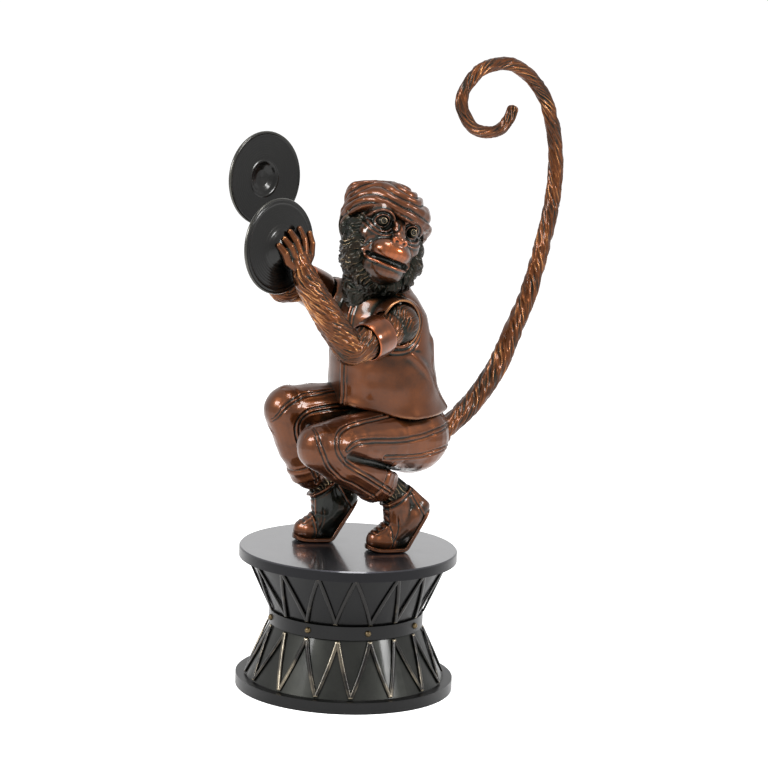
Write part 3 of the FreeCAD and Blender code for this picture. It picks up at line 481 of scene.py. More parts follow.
keptMetal = {"bronze_dark": rimBronze, "bronze_chestnut": chestnut, "bronze_fur": furBronze, "brass": brass,
             "steel": steel}
slotOf = {part["node"]: part["material_slot"] for part in frame["record"]["subparts"]}
ownMetal = {"drum_top_plate": topBronze, "drum_upper_shell": rimBronze, "drum_lower_shell": shellBronze,
            "band_studs": studBrass}
for node, piece in frame["nodes"].items():
    piece.data.materials.clear()
    piece.data.materials.append(ownMetal.get(node, keptMetal[slotOf[node]]))


def gridSkin(name, around, along, shape):
    # a sheet of squares wrapped into a closed form, its seam and poles welded
    bpy.ops.mesh.primitive_grid_add(x_subdivisions=around, y_subdivisions=along, size=1)
    piece = newPiece(name)
    sheet = readMesh(piece)[0] * mm + 0.5
    writeMesh(piece, shape(sheet[:, 0], sheet[:, 1]))
    return weld(piece)


def weld(piece):
    onlySelect(piece)
    bpy.ops.object.mode_set(mode="EDIT")
    bpy.ops.mesh.select_all(action="SELECT")
    bpy.ops.mesh.remove_doubles(threshold=2e-6)
    bpy.ops.mesh.normals_make_consistent(inside=False)
    bpy.ops.object.mode_set(mode="OBJECT")
    return piece


def runAlong(line, share):
    # points and directions at shares of the length of a run of points
    line = np.array(line, float)
    spans = np.linalg.norm(np.diff(line, axis=0), axis=1)
    reach = np.concatenate([[0], np.cumsum(spans)])
    at = share * reach[-1]
    return np.stack([np.interp(at, reach, line[:, k]) for k in range(line.shape[1])], axis=1), at


def lathe(name, profile, around=96, along=60):
    def shape(u, v):
        points = runAlong(profile, v)[0]
        angle = 2 * np.pi * u
        return np.stack([points[:, 0] * np.cos(angle), points[:, 0] * np.sin(angle), points[:, 1]], axis=1)
    return gridSkin(name, around, along, shape)


def tube(name, path, radius, around, along, relief):
    # a round limb along a smooth path, closed at both ends
    path = np.array(path, float)
    ways = np.gradient(path, axis=0)
    ways /= np.linalg.norm(ways, axis=1)[:, None]
    sides = [np.cross(ways[0], (1.0, 0, 0))]
    for way in ways[1:]:
        side = sides[-1] - way * (way @ sides[-1])
        sides.append(side / np.linalg.norm(side))
    sides[0] = sides[1]
    frameRows = np.hstack([path, np.array(sides), ways])

    def shape(u, v):
        rows, at = runAlong(frameRows[:, :3], v)
        spans = np.concatenate([[0], np.cumsum(np.linalg.norm(np.diff(path, axis=0), axis=1))])
        side = np.stack([np.interp(at, spans, frameRows[:, k]) for k in range(3, 6)], axis=1)
        way = np.stack([np.interp(at, spans, frameRows[:, k]) for k in range(6, 9)], axis=1)
        other = np.cross(way, side)
        angle = 2 * np.pi * u
        size = radius(v)
        size = size + relief(angle, at) * np.clip(size / 5, 0, 1)
        return rows + side * (size * np.cos(angle))[:, None] + other * (size * np.sin(angle))[:, None]
    return gridSkin(name, around, along, shape)


def cutAway(piece, tool, operation="DIFFERENCE"):
    useModifier(piece, "BOOLEAN", operation=operation, object=tool, solver="EXACT")
    bpy.data.objects.remove(tool)
    return piece


# trousers

trouserLines = {
    "left": [(24, 58, 252, 36), (30, 20, 254, 30), (34, -30, 255, 27), (35, -68, 254, 23), (34, -22, 228, 22),
             (32, 10, 210.4, 19)],
    "right": [(-26, 50, 262, 34), (-32, 0, 272, 30), (-35, -54, 278, 24), (-34, -41, 240, 20),
              (-33, -26, 213.4, 17)]}
trouserMesh = {"voxel": 1.15, "rounds": 6}


def legFrame(places, side):
    # along and round one leg: angle nought is the knee side, a quarter turn is the outer side
    line = np.array(trouserLines[side], float)
    knee = 3 if side == "left" else 2
    outer = 1 if side == "left" else -1
    thigh = nearSegment(places, line[0, :3], line[knee, :3], outer)
    shin = nearSegment(places, line[knee, :3], line[-1, :3], outer)
    onThigh = thigh[0] < shin[0]
    reach = np.linalg.norm(line[knee, :3] - line[0, :3])
    along = np.where(onThigh, thigh[1], reach + shin[1])
    angle = np.where(onThigh, thigh[2], shin[2])
    return along, angle, onThigh, thigh, shin


def nearSegment(places, a, b, outer):
    way = (b - a) / np.linalg.norm(b - a)
    t = np.clip((places - a) @ way, 0, np.linalg.norm(b - a))
    off = places - (a + t[:, None] * way)
    out = np.array([outer, 0, 0]) - way * (way[0] * outer)
    out /= np.linalg.norm(out)
    up = np.cross(way, out) * outer
    return np.linalg.norm(off, axis=1), t, np.arctan2(off @ out, off @ up), off @ out


def piping(distance):
    # a rib between two cut lines
    away = np.abs(distance)
    return 0.7 * bump(distance, 1.0) - 1.35 * bump(away - 2.1, 0.85) + 0.4 * bump(away - 4, 1)


# the four piped lines on the outside of the left leg, seen from its side as y and z, from hip to cuff
pipingRuns = [[(60, 294), (10, 292), (-32, 288.5), (-60, 287.5), (-75, 281), (-82.4, 264), (-78, 248),
               (-69, 236),
               (-52, 224), (-35, 215), (-8, 200)],
              [(90, 283), (23, 281), (-10, 279), (-35, 277), (-54, 273), (-64, 265), (-65, 255), (-58, 245),
               (-46, 236),
               (-5, 213), (12, 203)],
              [(104, 266), (70, 264), (40, 259), (12, 257.5), (-25, 260.5), (-44, 259.5), (-53, 254)],
              [(100, 246), (70, 243), (40, 239), (13, 240), (-6, 242)]]
# and the two that show on the inside of the right leg
innerRuns = [[(30, 297), (-5, 297), (-29, 296), (-50, 295), (-68, 287), (-76, 272), (-74, 253), (-62.7, 230),
              (-51.5, 214)],
             [(30, 284), (0, 283), (-28, 282), (-48, 279), (-58, 269), (-56, 254), (-46, 238), (-37, 222),
              (-28, 206)]]
creases = {"left": ((-53, 254), (0.965, -0.262)), "right": ((-44, 271), (0.8, -0.6))}
legCorners = {"left": ((-68, 254), (58, 252), (10, 210)), "right": ((-54, 278), (50, 262), (-26, 213))}


def mapRun(run, side):
    # the same lines laid on a leg whose knee, hip and cuff are elsewhere
    first, second = [np.array([[*spot, 1] for spot in legCorners[name]]) for name in ("left", side)]
    carry = np.linalg.solve(first, second[:, :2])
    return [(0, *(np.array([y, z, 1]) @ carry)) for y, z in run]


def legDepth(gap, line, t):
    spans = np.concatenate([[0], np.cumsum(np.linalg.norm(np.diff(line[:, :3], axis=0), axis=1))])
    return gap - np.interp(t, spans, line[:, 3])


def makeTrousers():
    parts = []
    for side in ("left", "right"):
        parts += ballChain(trouserLines[side])
    parts.append(ball(0, 72, 250, 41))
    parts.append(ball(0, 36, 262, 40, (1.2, 1.1, 0.72)))
    for side in ("left", "right"):
        parts += ballChain([(trouserLines[side][0][0] * 0.4, 64, 250, 36), trouserLines[side][0]])
    cuffs = {"left": ((33.2, -9, 220, 20.6), (31.6, 9, 209.4, 21.4)),
             "right": ((-33.6, -35, 228, 19), (-33, -26, 213, 19.6))}
    for side in ("left", "right"):
        start, end = cuffs[side]
        parts.append(taper(start[:3], end[:3], start[3], end[3]))
    piece = castSkin(parts, "trousers", trouserMesh["voxel"], trouserMesh["rounds"])
    places, normals = readMesh(piece)
    lift = np.zeros(len(places))
    frames = {side: legFrame(places, side) for side in ("left", "right")}
    for side in ("left", "right"):
        along, angle, onThigh, thigh, shin = frames[side]
        other = frames["right" if side == "left" else "left"]
        mine = np.minimum(thigh[0], shin[0]) <= np.minimum(other[3][0], other[4][0])
        facing = np.abs(normals[:, 0])
        flat = places * np.array([0, 1, 1])
        inside = mine & (normals[:, 0] > 0) & (side == "right")
        runs = [(mapRun(run, side), mine & ~inside) for run in pipingRuns]
        runs += [([(0, *spot) for spot in run], inside) for run in innerRuns]
        for run, where in runs:
            distance = nearLine(flat, smoothLine(run))[0] / np.maximum(facing, 0.28)
            lift += np.where(where & (distance < 8), piping(distance) * smoothStep((facing - 0.03) / 0.12), 0)
        # cloth folded into the back of the knee
        line = np.array(trouserLines[side], float)
        knee = 3 if side == "left" else 2
        onUpper = legDepth(thigh[0], line[:knee + 1], thigh[1])
        onLower = legDepth(shin[0], line[knee:], shin[1])
        seam = onUpper - onLower
        apex, inward = creases[side]
        depth = (places[:, 1] - apex[0]) * inward[0] + (places[:, 2] - apex[1]) * inward[1]
        pit = smoothStep((depth + 1) / 8) * mine
        lift += pit * (-4.2 * bump(seam, 2.4) + 1.2 * bump(np.abs(seam) - 7, 3.2))
        total = along.max()
        cuff = mine & ~onThigh
        lift += np.where(cuff, -1.2 * bump(along - (total - 13), 1.1) + 0.9 * bump(along - (total - 9), 3.0),
                         0)
        drag = np.sin(along / 5.5 + 2.2 * np.sin(angle)) * smoothStep((np.abs(angle) - 1.3) / 0.8)
        lift += np.where(mine & ~onThigh, 0.5 * drag, 0)
    lift += 0.8 * wander(places, 26, 3.0) + 0.25 * wander(places, 9, 5.0)
    swell(piece, lift)
    markWear(piece, (2, 14))
    dress(piece, "figure", "bronze_chestnut", chestnut, "left_trouser_leg", "right_trouser_leg", "seat")


makeTrousers()
print("trousers are ready")


# jacket

jacketRings = np.array([(403, 33, 22, 22), (391, 31, 36.6, 33.7), (374.4, 32, 48.4, 40.8),
                        (355.4, 33, 51.9, 44.9),
                        (325.7, 34, 56.6, 49.5), (305, 36, 58.5, 51), (294, 39, 59, 53), (283, 42, 61, 57)],
                       float)
shoulders = {"left": (50, 12, 371), "right": (-50, 12, 380)}
armWay = {"left": (57, -30, 358), "right": (-54, -20, 398)}
armSwing = (-9, 0, 3)


def makeJacket():
    def shape(u, v):
        # down the outside, round the hem and up the inside
        down = np.where(v < 0.5, v * 2, 2 - v * 2)
        inner = np.where(v < 0.5, 0, 4.0) * np.clip((0.5 - np.abs(v - 0.5)) * 40, 0, 1)
        rows = runAlong(jacketRings, down)[0]
        angle = 2 * np.pi * u
        wide, deep = rows[:, 2] - inner, rows[:, 3] - inner
        hem = np.clip((308 - rows[:, 0]) / 20, 0, 1) ** 2
        back = np.clip(-np.cos(angle), 0, 1)
        flare = 1 + hem * (0.03 * np.sin(5 * angle + 0.6) + 0.08 * back)
        sag = hem * (1.5 * np.sin(3 * angle + 1) - 5 * back - 7 * np.sin(angle) ** 2)
        return np.stack([wide * np.sin(angle) * flare, rows[:, 1] - deep * np.cos(angle) * flare,
                         rows[:, 0] + sag], axis=1)
    parts = [gridSkin("jacketBody", 96, 120, shape)]
    for side, (x, y, z) in shoulders.items():
        parts.append(ball(x - 4 * np.sign(x), y, z, 24.5))
        parts.append(ball(x * 0.82, y + 6, z - 1, 26))
    piece = castSkin(parts, "jacket", 1.3, 5)
    for side, (x, y, z) in shoulders.items():
        sign = np.sign(x)
        room = ball(x, y, z, 21.2)
        cutAway(piece, room)
        bpy.ops.mesh.primitive_cube_add(size=0.06, location=((x + sign * 33.2) * mm, y * mm, z * mm))
        cutAway(piece, bpy.context.object)
        first = Vector((x, y, z))
        for angle in armSwing:
            way = Vector(armWay[side]) - first
            way.rotate(Euler((0, 0, math.radians(sign * angle))))
            cutAway(piece, taper(first, first + way * 1.25, 18.2, 18.2))
    useModifier(piece, "REMESH", mode="VOXEL", voxel_size=1.15 * mm)
    useModifier(piece, "SMOOTH", factor=0.5, iterations=6)
    places, normals = readMesh(piece)
    x, y, z = places.T
    lift = np.zeros(len(places))
    outward = (normals * (places - np.array([0, 34, 340]))).sum(1) > 0
    frontSide = outward & (y < 10)
    lift += np.where(frontSide, -1.9 * bump(x - 1.0, 1.1) + 0.9 * bump(np.abs(x - 1.0) - 3.2, 1.0), 0)
    for side, spot in shoulders.items():
        off = places - np.array(spot)
        ring = np.sqrt(off[:, 1] ** 2 + off[:, 2] ** 2)
        near = outward & (off[:, 0] * np.sign(spot[0]) > -26) & (ring > 20)
        lift += np.where(near, -1.2 * bump(ring - 26.0, 1.1) + 0.7 * bump(ring - 28.4, 1.2)
                         - 0.8 * bump(ring - 31.0, 1.0), 0)
    # cloth pulled down from the arm and drawn over the belly
    folds = [([(48, -8, 338), (44, -12, 316), (46, -10, 294)], 2.2, 4.0),
             ([(52, 26, 340), (58, 50, 318), (60, 66, 296)], 1.6, 5.0),
             ([(30, -14, 330), (24, -20, 306), (30, -20, 286)], -1.4, 5.0),
             ([(-40, -2, 340), (-42, -10, 318), (-38, -14, 296)], 1.8, 4.0),
             ([(40, 62, 350), (46, 78, 322), (40, 92, 292)], 1.6, 5.0),
             ([(-40, 62, 350), (-46, 78, 322), (-40, 92, 292)], 1.6, 5.0),
             ([(0, 82, 360), (4, 92, 326), (0, 104, 290)], 1.2, 6.0)]
    for line, high, width in folds:
        gap = nearLine(places, smoothLine(line))[0]
        lift += np.where(outward, 1.6 * high * bump(gap, width), 0)
    lift += np.where(outward, 0.7 * wander(places, 30, 1.0) + 0.3 * wander(places, 12, 2.0), 0)
    swell(piece, lift)
    wear = markWear(piece, (2, 14))
    places = readMesh(piece)[0]
    # painted shade: the upper front of the chest is darkened; the jacket also goes lighter towards the hem,
    # and its sharpest rims darker
    chest = smoothStep((places[:, 2] - 335) / 25) * smoothStep((14 - places[:, 1]) / 20)
    low = smoothStep((312 - places[:, 2]) / 20)
    rims = np.clip(wear - 1.6, 0, None)
    markTint(piece, -0.65 * chest - 0.2 + 0.3 * low - 1.1 * rims)
    dress(piece, "figure", "bronze_chestnut", chestnut, "jacket")


def makeArmholeTrim(side):
    # a raised round edge round the armhole, open in front where the arm comes out
    x, y, z = shoulders[side]
    turns = np.radians(np.linspace(-62, 205, 60))
    path = [(x + np.sign(x) * 3.4, y + 22.9 * math.cos(turn), z + 22.9 * math.sin(turn)) for turn in turns]

    def radius(v):
        close = np.clip(np.minimum(v, 1 - v) / 0.02, 0, 1)
        return 1.5 * np.sqrt(1 - (1 - close) ** 2)
    piece = tube(side + "ArmholeTrim", path, radius, 16, 200, lambda angle, at: 0 * at)
    markWear(piece, (2, 8))
    markTint(piece, np.full(len(piece.data.vertices), 0.9))
    dress(piece, "figure", "bronze_chestnut", chestnut)


makeJacket()
for side in shoulders:
    makeArmholeTrim(side)
print("jacket is ready")


# boots, soles and socks

boots = {"left": (37.7, 33, -21.3), "right": (-33.5, -2, -30.5)}
deck = 141.4
heelSlope = math.atan2(43.5, 27)
toeReach = 37
socks = {"left": [(32, 8, 211, 13.5), (34, 20, 205, 14), (36, 29, 198, 14), (36.5, 31, 190, 13)],
         "right": [(-33, -28, 214, 13), (-34, -16, 206, 13.5), (-35.5, -6, 198, 13.5), (-35.5, -4, 190, 13)]}


def solePath():
    # the underside from toe to raised heel: length from the bend, place forward, height and slope
    run = np.linspace(toeReach, -54, 365)
    slope = heelSlope * smoothStep((4 - run) / 12)
    step = run[0] - run[1]
    forward = toeReach - 3 - np.concatenate([[0], np.cumsum(np.cos(slope[:-1]) * step)])
    height = np.concatenate([[0], np.cumsum(np.sin(slope[:-1]) * step)])
    return run[::-1], forward[::-1], height[::-1], slope[::-1]


def bootSpot(side, u, v, z):
    x, y, turn = boots[side]
    c, s = math.cos(math.radians(turn)), math.sin(math.radians(turn))
    return np.stack([x + v * c + u * s, y + v * s - u * c, deck + z], axis=-1)


bootFoot = [(22, 11, 11.5), (15, 13, 13.5), (5, 18, 15.5), (-3, 26, 16), (-10, 35, 15.5), (-16, 41, 13.5),
            (-19, 44, 12)]
bootShaft = [(0, 30, 15.5), (2, 44, 15.5), (4.5, 56, 15), (6, 64, 15)]
bootBottom = [(6, 13, 13), (-2, 14.5, 13.5), (-12, 29, 12.5), (-20, 41, 10.5)]
rimTilt = 0.69


def makeBoot(side):
    parts = []
    for run in (bootFoot, bootShaft):
        parts += ballChain([(*bootSpot(side, u, 0, z), radius) for u, z, radius in run])
    parts.append(ball(*bootSpot(side, 14, 0, 11), 14.5, (1.1, 1.15, 0.85), (0, 0, boots[side][2])))
    parts += ballChain([(*bootSpot(side, -18, 0, 45), 11.5), (*bootSpot(side, -9, 0, 54), 11)])
    parts += ballChain([(*bootSpot(side, u, 0, z), size) for u, z, size in bootBottom])
    piece = castSkin(parts, side + "Boot", 0.85, 10)
    places = readMesh(piece)[0]
    u, v, z = bootFrame(side, places)
    top = deck + np.minimum(56.5 - (u - 4) * rimTilt, 65 + (u + 9) * 0.86)
    places[:, 2] = np.where(places[:, 2] > top, top + 0.06 * (places[:, 2] - top), places[:, 2])
    writeMesh(piece, places)
    places, normals = readMesh(piece)
    lift = np.zeros(len(places))
    # a laced tongue, a toe cap, a padded rim and a heel counter
    tongue = (normals[:, 2] > -0.2) & (u > -2) & (z > 18)
    width = 6.5 + 0.06 * z
    lift += np.where(tongue & (np.abs(v) < width),
                     0.75 * np.abs(np.sin((z - 0.9 * u) / 5.2 * np.pi / 1.4)) - 0.7, 0)
    lift += np.where(tongue, 1.0 * bump(np.abs(v) - width - 1.2, 1.1), 0)
    cap = u - 16 + v * v * 0.02
    lift += np.where(z < 30, 0.8 * bump(cap - 0.8, 1.0) - 0.8 * bump(cap + 0.8, 0.8), 0)
    counter = u + 19 - np.abs(v) * 0.1 - (z - 45) * 0.6
    lift += np.where(normals[:, 2] < 0.6, 0.5 * bump(counter, 1.0) - 0.6 * bump(counter - 1.6, 0.8), 0)
    rim = (z - 56.5 + (u - 4) * rimTilt) / math.hypot(1, rimTilt)
    lift += np.where(normals[:, 2] < 0.5, 1.0 * bump(rim + 1.2, 1.7) - 0.9 * bump(rim + 4.4, 1.0), 0)
    quarter = nearLine(places, smoothLine([tuple(bootSpot(side, 12, 15, 6)), tuple(bootSpot(side, 6, 15, 22)),
                                           tuple(bootSpot(side, 6, 13, 38))]))[0]
    lift -= 0.8 * bump(quarter, 0.9)
    lift += 0.7 * wander(places, 13, 4.0)
    swell(piece, lift)
    places = readMesh(piece)[0]
    sink = soleHeight(side, places)
    places[:, 2] += np.where(sink < 3.2, (3.2 - sink), 0)
    writeMesh(piece, places)
    markWear(piece, (2, 12))
    u, v, z = bootFrame(side, places)
    if side == "right":
        markTint(piece, -1.5 * smoothStep((18 - u) / 6) - 0.1)
    else:
        markTint(piece, -0.6 * smoothStep((12 - u) / 10) - 0.1)
    dress(piece, "figure", "bronze_chestnut", chestnut, side + "_boot")


def bootFrame(side, places):
    x, y, turn = boots[side]
    c, s = math.cos(math.radians(turn)), math.sin(math.radians(turn))
    dx, dy = places[:, 0] - x, places[:, 1] - y
    return dx * s - dy * c, dx * c + dy * s, places[:, 2] - deck


def soleHeight(side, places):
    u, _, z = bootFrame(side, places)
    _, forward, height, _ = solePath()
    return z - np.interp(u, forward, height)


def makeSole(side):
    plan = np.array([(37, 0.1), (36.3, 6), (33, 11.2), (27, 14.8), (15, 16.4), (0, 15.4), (-14, 13.6),
                     (-30, 12.4),
                     (-40, 11.6), (-46, 9.4), (-49.4, 4.8), (-50.2, 0.1)], float)

    def shape(u, v):
        rows = runAlong(plan, v)[0]
        wave, rise = squarish(2 * np.pi * u, 0.5)
        groove = 0.7 * bump(rise - 0.2, 0.25) * np.clip(rows[:, 1] / 6, 0, 1)
        wide = rows[:, 1] * wave - np.sign(wave) * groove * (np.abs(wave) > 0.7)
        run, forward, height, slope = solePath()
        thick = 2.4 * (1 + rise)
        lean = np.interp(rows[:, 0], run, slope)
        spring = np.clip((rows[:, 0] - 22) / 14, 0, 1) ** 2 * 2.5
        return bootSpot(side, np.interp(rows[:, 0], run, forward) + thick * np.sin(lean), wide,
                        np.interp(rows[:, 0], run, height) + thick * np.cos(lean) + spring)
    piece = gridSkin(side + "Sole", 48, 90, shape)
    markWear(piece, (2, 8))
    dress(piece, "figure", "bronze_chestnut", chestnut, side + "_sole")


def makeSock(side):
    piece = castSkin(ballChain(socks[side]), side + "Sock", 0.9, 3)
    places = readMesh(piece)[0]
    along, around = nearLine(places, socks[side])[1:]
    tufts = ridged(strands(around, along, 3.2, 9, 2.0))
    swell(piece, 1.3 * tufts - 0.6)
    markWear(piece, (2, 8))
    dress(piece, "figure", "bronze_fur", darkFur, side + "_sock")


for side in ("left", "right"):
    makeBoot(side)
    makeSole(side)
    makeSock(side)
print("boots and socks are ready")


# arms, hands and cymbals

upperLines = {"left": [(50, 12, 371, 17), (57, -30, 358, 17), (58, -54, 351, 15)],
              "right": [(-50, 12, 380, 17), (-54, -20, 398, 17), (-55, -50, 396, 14)]}
foreLines = {"left": [(58, -54, 351, 15), (53, -76, 380, 14), (46, -100, 418, 12), (45, -104, 427, 10.5)],
             "right": [(-55, -50, 396, 14), (-51, -64, 434, 13), (-45, -81, 474, 10.5)]}
cymbalSpots = {"left": ((30, -121, 450), (0.990, 0.139, 0)),
               "right": ((-30, -96, 507.7), (-0.996, -0.087, 0))}


def makeArm(side):
    line = upperLines[side] + foreLines[side][1:]
    parts = ballChain(line)
    parts.append(ball(*shoulders[side], 20))
    piece = castSkin(parts, side + "ArmFur", 0.8, 6)
    places = readMesh(piece)[0]
    along, around = nearLine(places, line)[1:]
    sweep = around + along * 0.03
    locks = ridged(strands(sweep, along, 3.6, 13, 1.0))
    fine = ridged(strands(sweep + along * 0.01, along, 8.0, 9, 7.0))
    x, y, z = shoulders[side]
    atBall = np.linalg.norm(places - np.array([x, y, z]), axis=1) < 21.5
    swell(piece, np.where(atBall, 0.8 * fine - 0.7, 0.95 * locks + 0.8 * fine - 0.9))
    markWear(piece, (2, 8))
    markTint(piece, np.where(atBall, -0.5, 0.2 + 0.7 * wander(places, 14, 8.0)))
    dress(piece, side + "_arm", "bronze_fur", furBronze, side + "_upper_arm", side + "_forearm")


def makeArmlet(side):
    first, second = Vector(upperLines[side][0][:3]), Vector(upperLines[side][1][:3])
    way = (second - first).normalized()
    profile = [(17.6, -1), (20.0, -0.8), (20.5, 0.6), (20.6, 6), (20.3, 12), (19.8, 18), (19.2, 21.4),
               (18.4, 22.2),
               (17.6, 22), (17.6, 10), (17.6, -1)]
    piece = lathe(side + "Armlet", profile, 72, 60)
    piece.location = (second - way * 17) * mm
    piece.rotation_euler = way.to_track_quat("Z", "Y").to_euler()
    settle(piece)
    wear = markWear(piece, (2, 8))
    markTint(piece, 0.4 - 0.5 * np.clip(wear, 0, 2))
    dress(piece, side + "_arm", "bronze_chestnut", ember, side + "_armlet")


def makeCymbal(side):
    spot, axis = cymbalSpots[side]
    profile = [(0, 9), (5, 8.5), (9.5, 6.9), (13.5, 4.4), (17, 2.7), (22, 1.7), (32, 0.95), (39.6, 0.5),
               (40.6, 0.9),
               (42.0, 0.95), (42.9, 0.3), (43.6, 0.7), (44.8, 0.7), (45.4, -0.6), (45.0, -2.2), (43.4, -2.6),
               (42.2, -1.7), (32, -1.0), (22, -0.4), (18.6, -0.3), (17.2, -0.8), (15.6, -0.3), (12.8, 1.4),
               (8, 3.2),
               (0, 4.2)]
    piece = lathe(side + "Cymbal", profile, 128, 140)
    places = readMesh(piece)[0]
    gap = np.hypot(places[:, 0], places[:, 1])
    # lathe marks left by the spinning
    rings = 0.05 * np.sin(gap * 2 * np.pi / 2.4) * np.clip((gap - 14) / 6, 0, 1) * (gap < 40)
    swell(piece, rings)
    piece.location = Vector(spot) * mm
    piece.rotation_euler = Vector(axis).to_track_quat("Z", "Y").to_euler()
    settle(piece)
    markWear(piece, (2, 10))
    dress(piece, side + "_arm", "bronze_dark", cymbalBronze, side + "_cymbal")


def handPoints(side):
    if side == "left":
        knuckles = [(42.6, -120, 437), (43.4, -115, 443), (43.0, -108.5, 447), (41.5, -100, 446.5),
                    (39.5, -91.5, 442)]
        tips = [(40.0, -129.5, 452), (38.6, -122, 457.5), (36.1, -114.2, 464), (33.6, -101, 466),
                (34.4, -89.5, 461)]
        return (45, -104, 427), knuckles, tips
    knuckles = [(-44.5, -99, 484), (-45.5, -94, 490), (-45.5, -89, 493), (-44.5, -83, 491), (-42, -76, 486)]
    tips = [(-42, -110, 500), (-41, -104, 509), (-40, -93, 514), (-39, -80, 513), (-38.5, -68, 505)]
    return (-45, -81, 474), knuckles, tips


def makeHand(side):
    wrist, knuckles, tips = handPoints(side)
    axis = np.array(cymbalSpots[side][1])
    parts = []
    lines = []
    wristSize = foreLines[side][-1][3] * 0.82
    for knuckle, tip in zip(knuckles, tips):
        bend = (np.array(knuckle) * 0.45 + np.array(tip) * 0.55) + axis * 2.4
        parts += ballChain([(*wrist, wristSize * 0.55), (*knuckle, 4.3), (*bend, 3.9), (*tip, 3.2)])
        lines.append([knuckle, tuple(bend), tip])
    for a, b in zip(knuckles[:-1], knuckles[1:]):
        middle = (np.array(a) + np.array(b) + 0.5 * np.array(wrist)) / 2.5
        parts += ballChain([(*wrist, wristSize), (*middle, 4.4)])
    piece = castSkin(parts, side + "Hand", 0.7, 3)
    places = readMesh(piece)[0]
    along, around = nearLine(places, [wrist, knuckles[2], tips[2]])[1:]
    locks = ridged(strands(around, along, 4.5, 22, 5.0))
    alongFinger = np.min([nearLine(places, line)[0] for line in lines], axis=0)
    swell(piece, 0.5 * locks * np.clip((alongFinger - 3.2) / 2, 0.35, 1) - 0.2)
    markWear(piece, (2, 8))
    dress(piece, side + "_arm", "bronze_chestnut", furBronze, side + "_hand")


for side in ("left", "right"):
    makeArm(side)
    makeArmlet(side)
    makeCymbal(side)
    makeHand(side)
print("arms and cymbals are ready")


# tail

tailRoute = [(0, 88, 234), (0, 100, 240), (0, 121, 250), (0, 146, 265.4), (0, 167, 283), (0, 190, 310.4),
             (0, 209, 345),
             (0, 229, 384.4), (0, 243, 427), (0, 253, 463.4), (0, 258, 499), (0, 256, 537.4), (0, 245, 571),
             (0, 232, 591.4),
             (0, 214, 607), (0, 192, 617.4), (0, 170, 618), (0, 147, 611.4), (0, 132, 596.4), (0, 125, 582.4),
             (0, 129, 569), (0, 142, 554.4), (0, 160, 550), (0, 178, 552.4), (0, 189, 562), (0, 197, 576.4)]


def makeTail():
    route = smoothLine(tailRoute, 8)

    def radius(v):
        body = np.interp(v, [0, 0.2, 0.35, 0.55, 0.75, 1.0], [10.6, 10.4, 8.6, 7.4, 6.4, 5.6])
        end = np.clip((1 - v) / 0.008, 0, 1)
        start = np.clip(v / 0.008, 0, 1)
        return body * np.sqrt(1 - (1 - end) ** 2) * np.sqrt(1 - (1 - start) ** 2)

    def relief(angle, at):
        twisted = angle + at * 0.052
        locks = ridged(strands(twisted, at, 1.9, 20, 3.0))
        fine = ridged(strands(twisted, at, 4.6, 12, 9.0))
        return 1.5 * locks + 0.55 * fine - 1.25
    piece = tube("tail", route, radius, 76, 860, relief)
    markWear(piece, (2, 8))
    dress(piece, "figure", "bronze_fur", furBronze, "tail")


makeTail()
print("tail is ready")


# head: built facing -y about its own middle, then turned over the left shoulder

headTurn = (Matrix.Translation(Vector((1, 28, 453)) * mm) @ Matrix.Rotation(math.radians(74), 4, "Z")
            @ Matrix.Rotation(math.radians(-10.8), 4, "X") @ Matrix.Rotation(math.radians(21), 4, "Y"))
eyeSpots = [(-16.5, -32.5, 4), (16.5, -32.5, 4)]
mouthLine = [(-21.5, -35, -30), (-18, -42, -32), (-10.5, -50, -33.5), (0, -53, -34), (10.5, -50, -33.5),
             (18, -42, -32), (21.5, -35, -30)]
lowerLip = [(-24, -32, -29), (-22, -35, -33.8), (-18, -41.5, -36.2), (-10.5, -49, -37.8), (0, -52, -38.4),
            (10.5, -49, -37.8), (18, -41.5, -36.2), (22, -35, -33.8), (24, -32, -29)]


def turnHead(piece):
    piece.matrix_world = headTurn
    return settle(piece)


